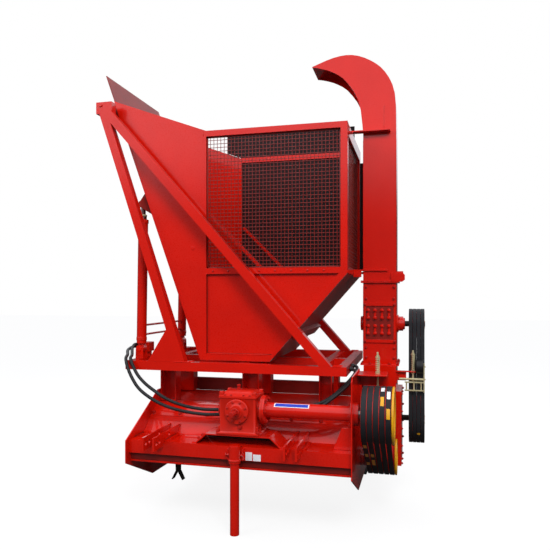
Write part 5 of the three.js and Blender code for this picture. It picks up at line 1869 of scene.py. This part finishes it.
@dataclass
class Wheel(SubAssembly):
    """One transport wheel: ribbed tyre with tread blocks on a bolted disc rim."""

    side: str
    x: float
    blocks: int = 46  # round the tyre, in each of four rows
    block_share: float = 0.34  # half a block's length, as a share of its pitch

    def tread_block(self, middle: float, low: float, high: float, crest: float) -> np.ndarray:
        """Loft a block out of the carcass: corners at t = middle +- half its length, its top drawn in.

        Args:
            middle: the block's angle round the wheel.
            low: its side nearer the left, from the wheel's middle.
            high: its other side.
            crest: radius of its top.

        Returns:
            The rings of a loft.
        """
        pitch = TAU / self.blocks
        corner = np.array([[-1, 0.0], [1, 0.0], [1, 1.0], [-1, 1.0]])
        rings = []
        for radius, slope in ((236.0, 0.0), (crest - 1.5, 0.0), (crest, 0.12)):
            t = middle + corner[:, 0] * pitch * self.block_share * (1 - slope)
            w = np.where(corner[:, 1] > 0, high - 12 * slope, low + 12 * slope)
            y, z = WHEEL_AXLE[0] + radius * np.cos(t), WHEEL_AXLE[1] + radius * np.sin(t)
            rings.append(np.stack([self.x + w, y, z], -1))
        return np.stack(rings)

    def tyre(self) -> None:
        """Turn the carcass and lay four rows of tread blocks round it."""
        half = [
            (127.6, 55), (136, 60), (146, 62), (170, 70), (190, 72.3), (206, 72), (226, 68), (236, 62),
            (240, 50), (240, 30), (243, 27), (243, 12), (240, 9),
        ]
        profile = [(r, self.x - w) for r, w in half] + [(r, self.x + w) for r, w in reversed(half)]
        shell = Shell().turned(profile, Axis.X, *WHEEL_AXLE, 96, closed=True)
        angle = np.arange(self.blocks) / self.blocks * TAU
        for low, high, shift, crest in (
            (-64, -32, 0.0, 249.0), (32, 64, 0.5, 249.0), (-24, -3, 0.25, 251.8), (3, 24, 0.75, 251.8)
        ):
            for middle in angle + shift * TAU / self.blocks:
                shell.loft(self.tread_block(middle, low, high, crest))
        shell.piece(f"tyre_{self.side}_treaded", TYRE, f"wheel_{self.side}", f"tyre_{self.side}")

    def rim(self) -> None:
        """Turn the well-based rim, its dished disc and its hub, and bolt the disc."""
        x, out = self.x, math.copysign(1.0, self.x)
        well = [
            (127, -54), (121, -54), (117, -44), (100, -36), (100, 36), (117, 44), (121, 54), (127, 54),
            (126.6, 40), (106, 30), (106, -30), (126.6, -40),
        ]
        dish = [
            (16, 2), (36, 2), (52, 10), (84, 12), (100, 4), (100, 9), (84, 18), (50, 16), (36, 8), (36, 52),
            (30, 53.5), (16, 53.5),
        ]
        hub = [(16, 2), (36, 2), (36, -53), (16, -53)]
        shell = Shell()
        for profile, way, sides in ((well, 1.0, 64), (dish, out, 64), (hub, out, 48)):
            shell.turned([(r, x + way * w) for r, w in profile], Axis.X, *WHEEL_AXLE, sides, closed=True)
        side, body = self.side, f"wheel_{self.side}"
        shell.piece(f"rim_{side}_dished", YELLOW, body, f"rim_{side}", smooth_deg=40)
        nuts = Shell().bolts(bolt_ring(Axis.X, WHEEL_AXLE, 62, x + out * 15.5, 5), (out, 0, 0), 17, 5)
        nuts.piece(f"wheel_{side}_nuts", ZINC, body)

    def build(self) -> None:
        """Make the tyre and the rim."""
        self.tyre()
        self.rim()


def main() -> None:
    """Set up the studio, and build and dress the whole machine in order."""
    logging.basicConfig(level=logging.INFO, format="%(name)s: %(message)s")
    Studio().build()
    groups: list[SubAssembly] = [
        Hoses(), Hopper(), Duct(), BeltDrives(), Tensioners(), Gearbox(), Header(), Frame(), Cylinders(),
        Wheel("left", -620.0), Wheel("right", 620.0),
    ]
    for group in groups:
        group.build()
        group.dress()
        LOG.info("%s done", type(group).__name__)
    ease("wheel_axle", ENAMEL, 2.5)


if __name__ == "__main__":
    main()
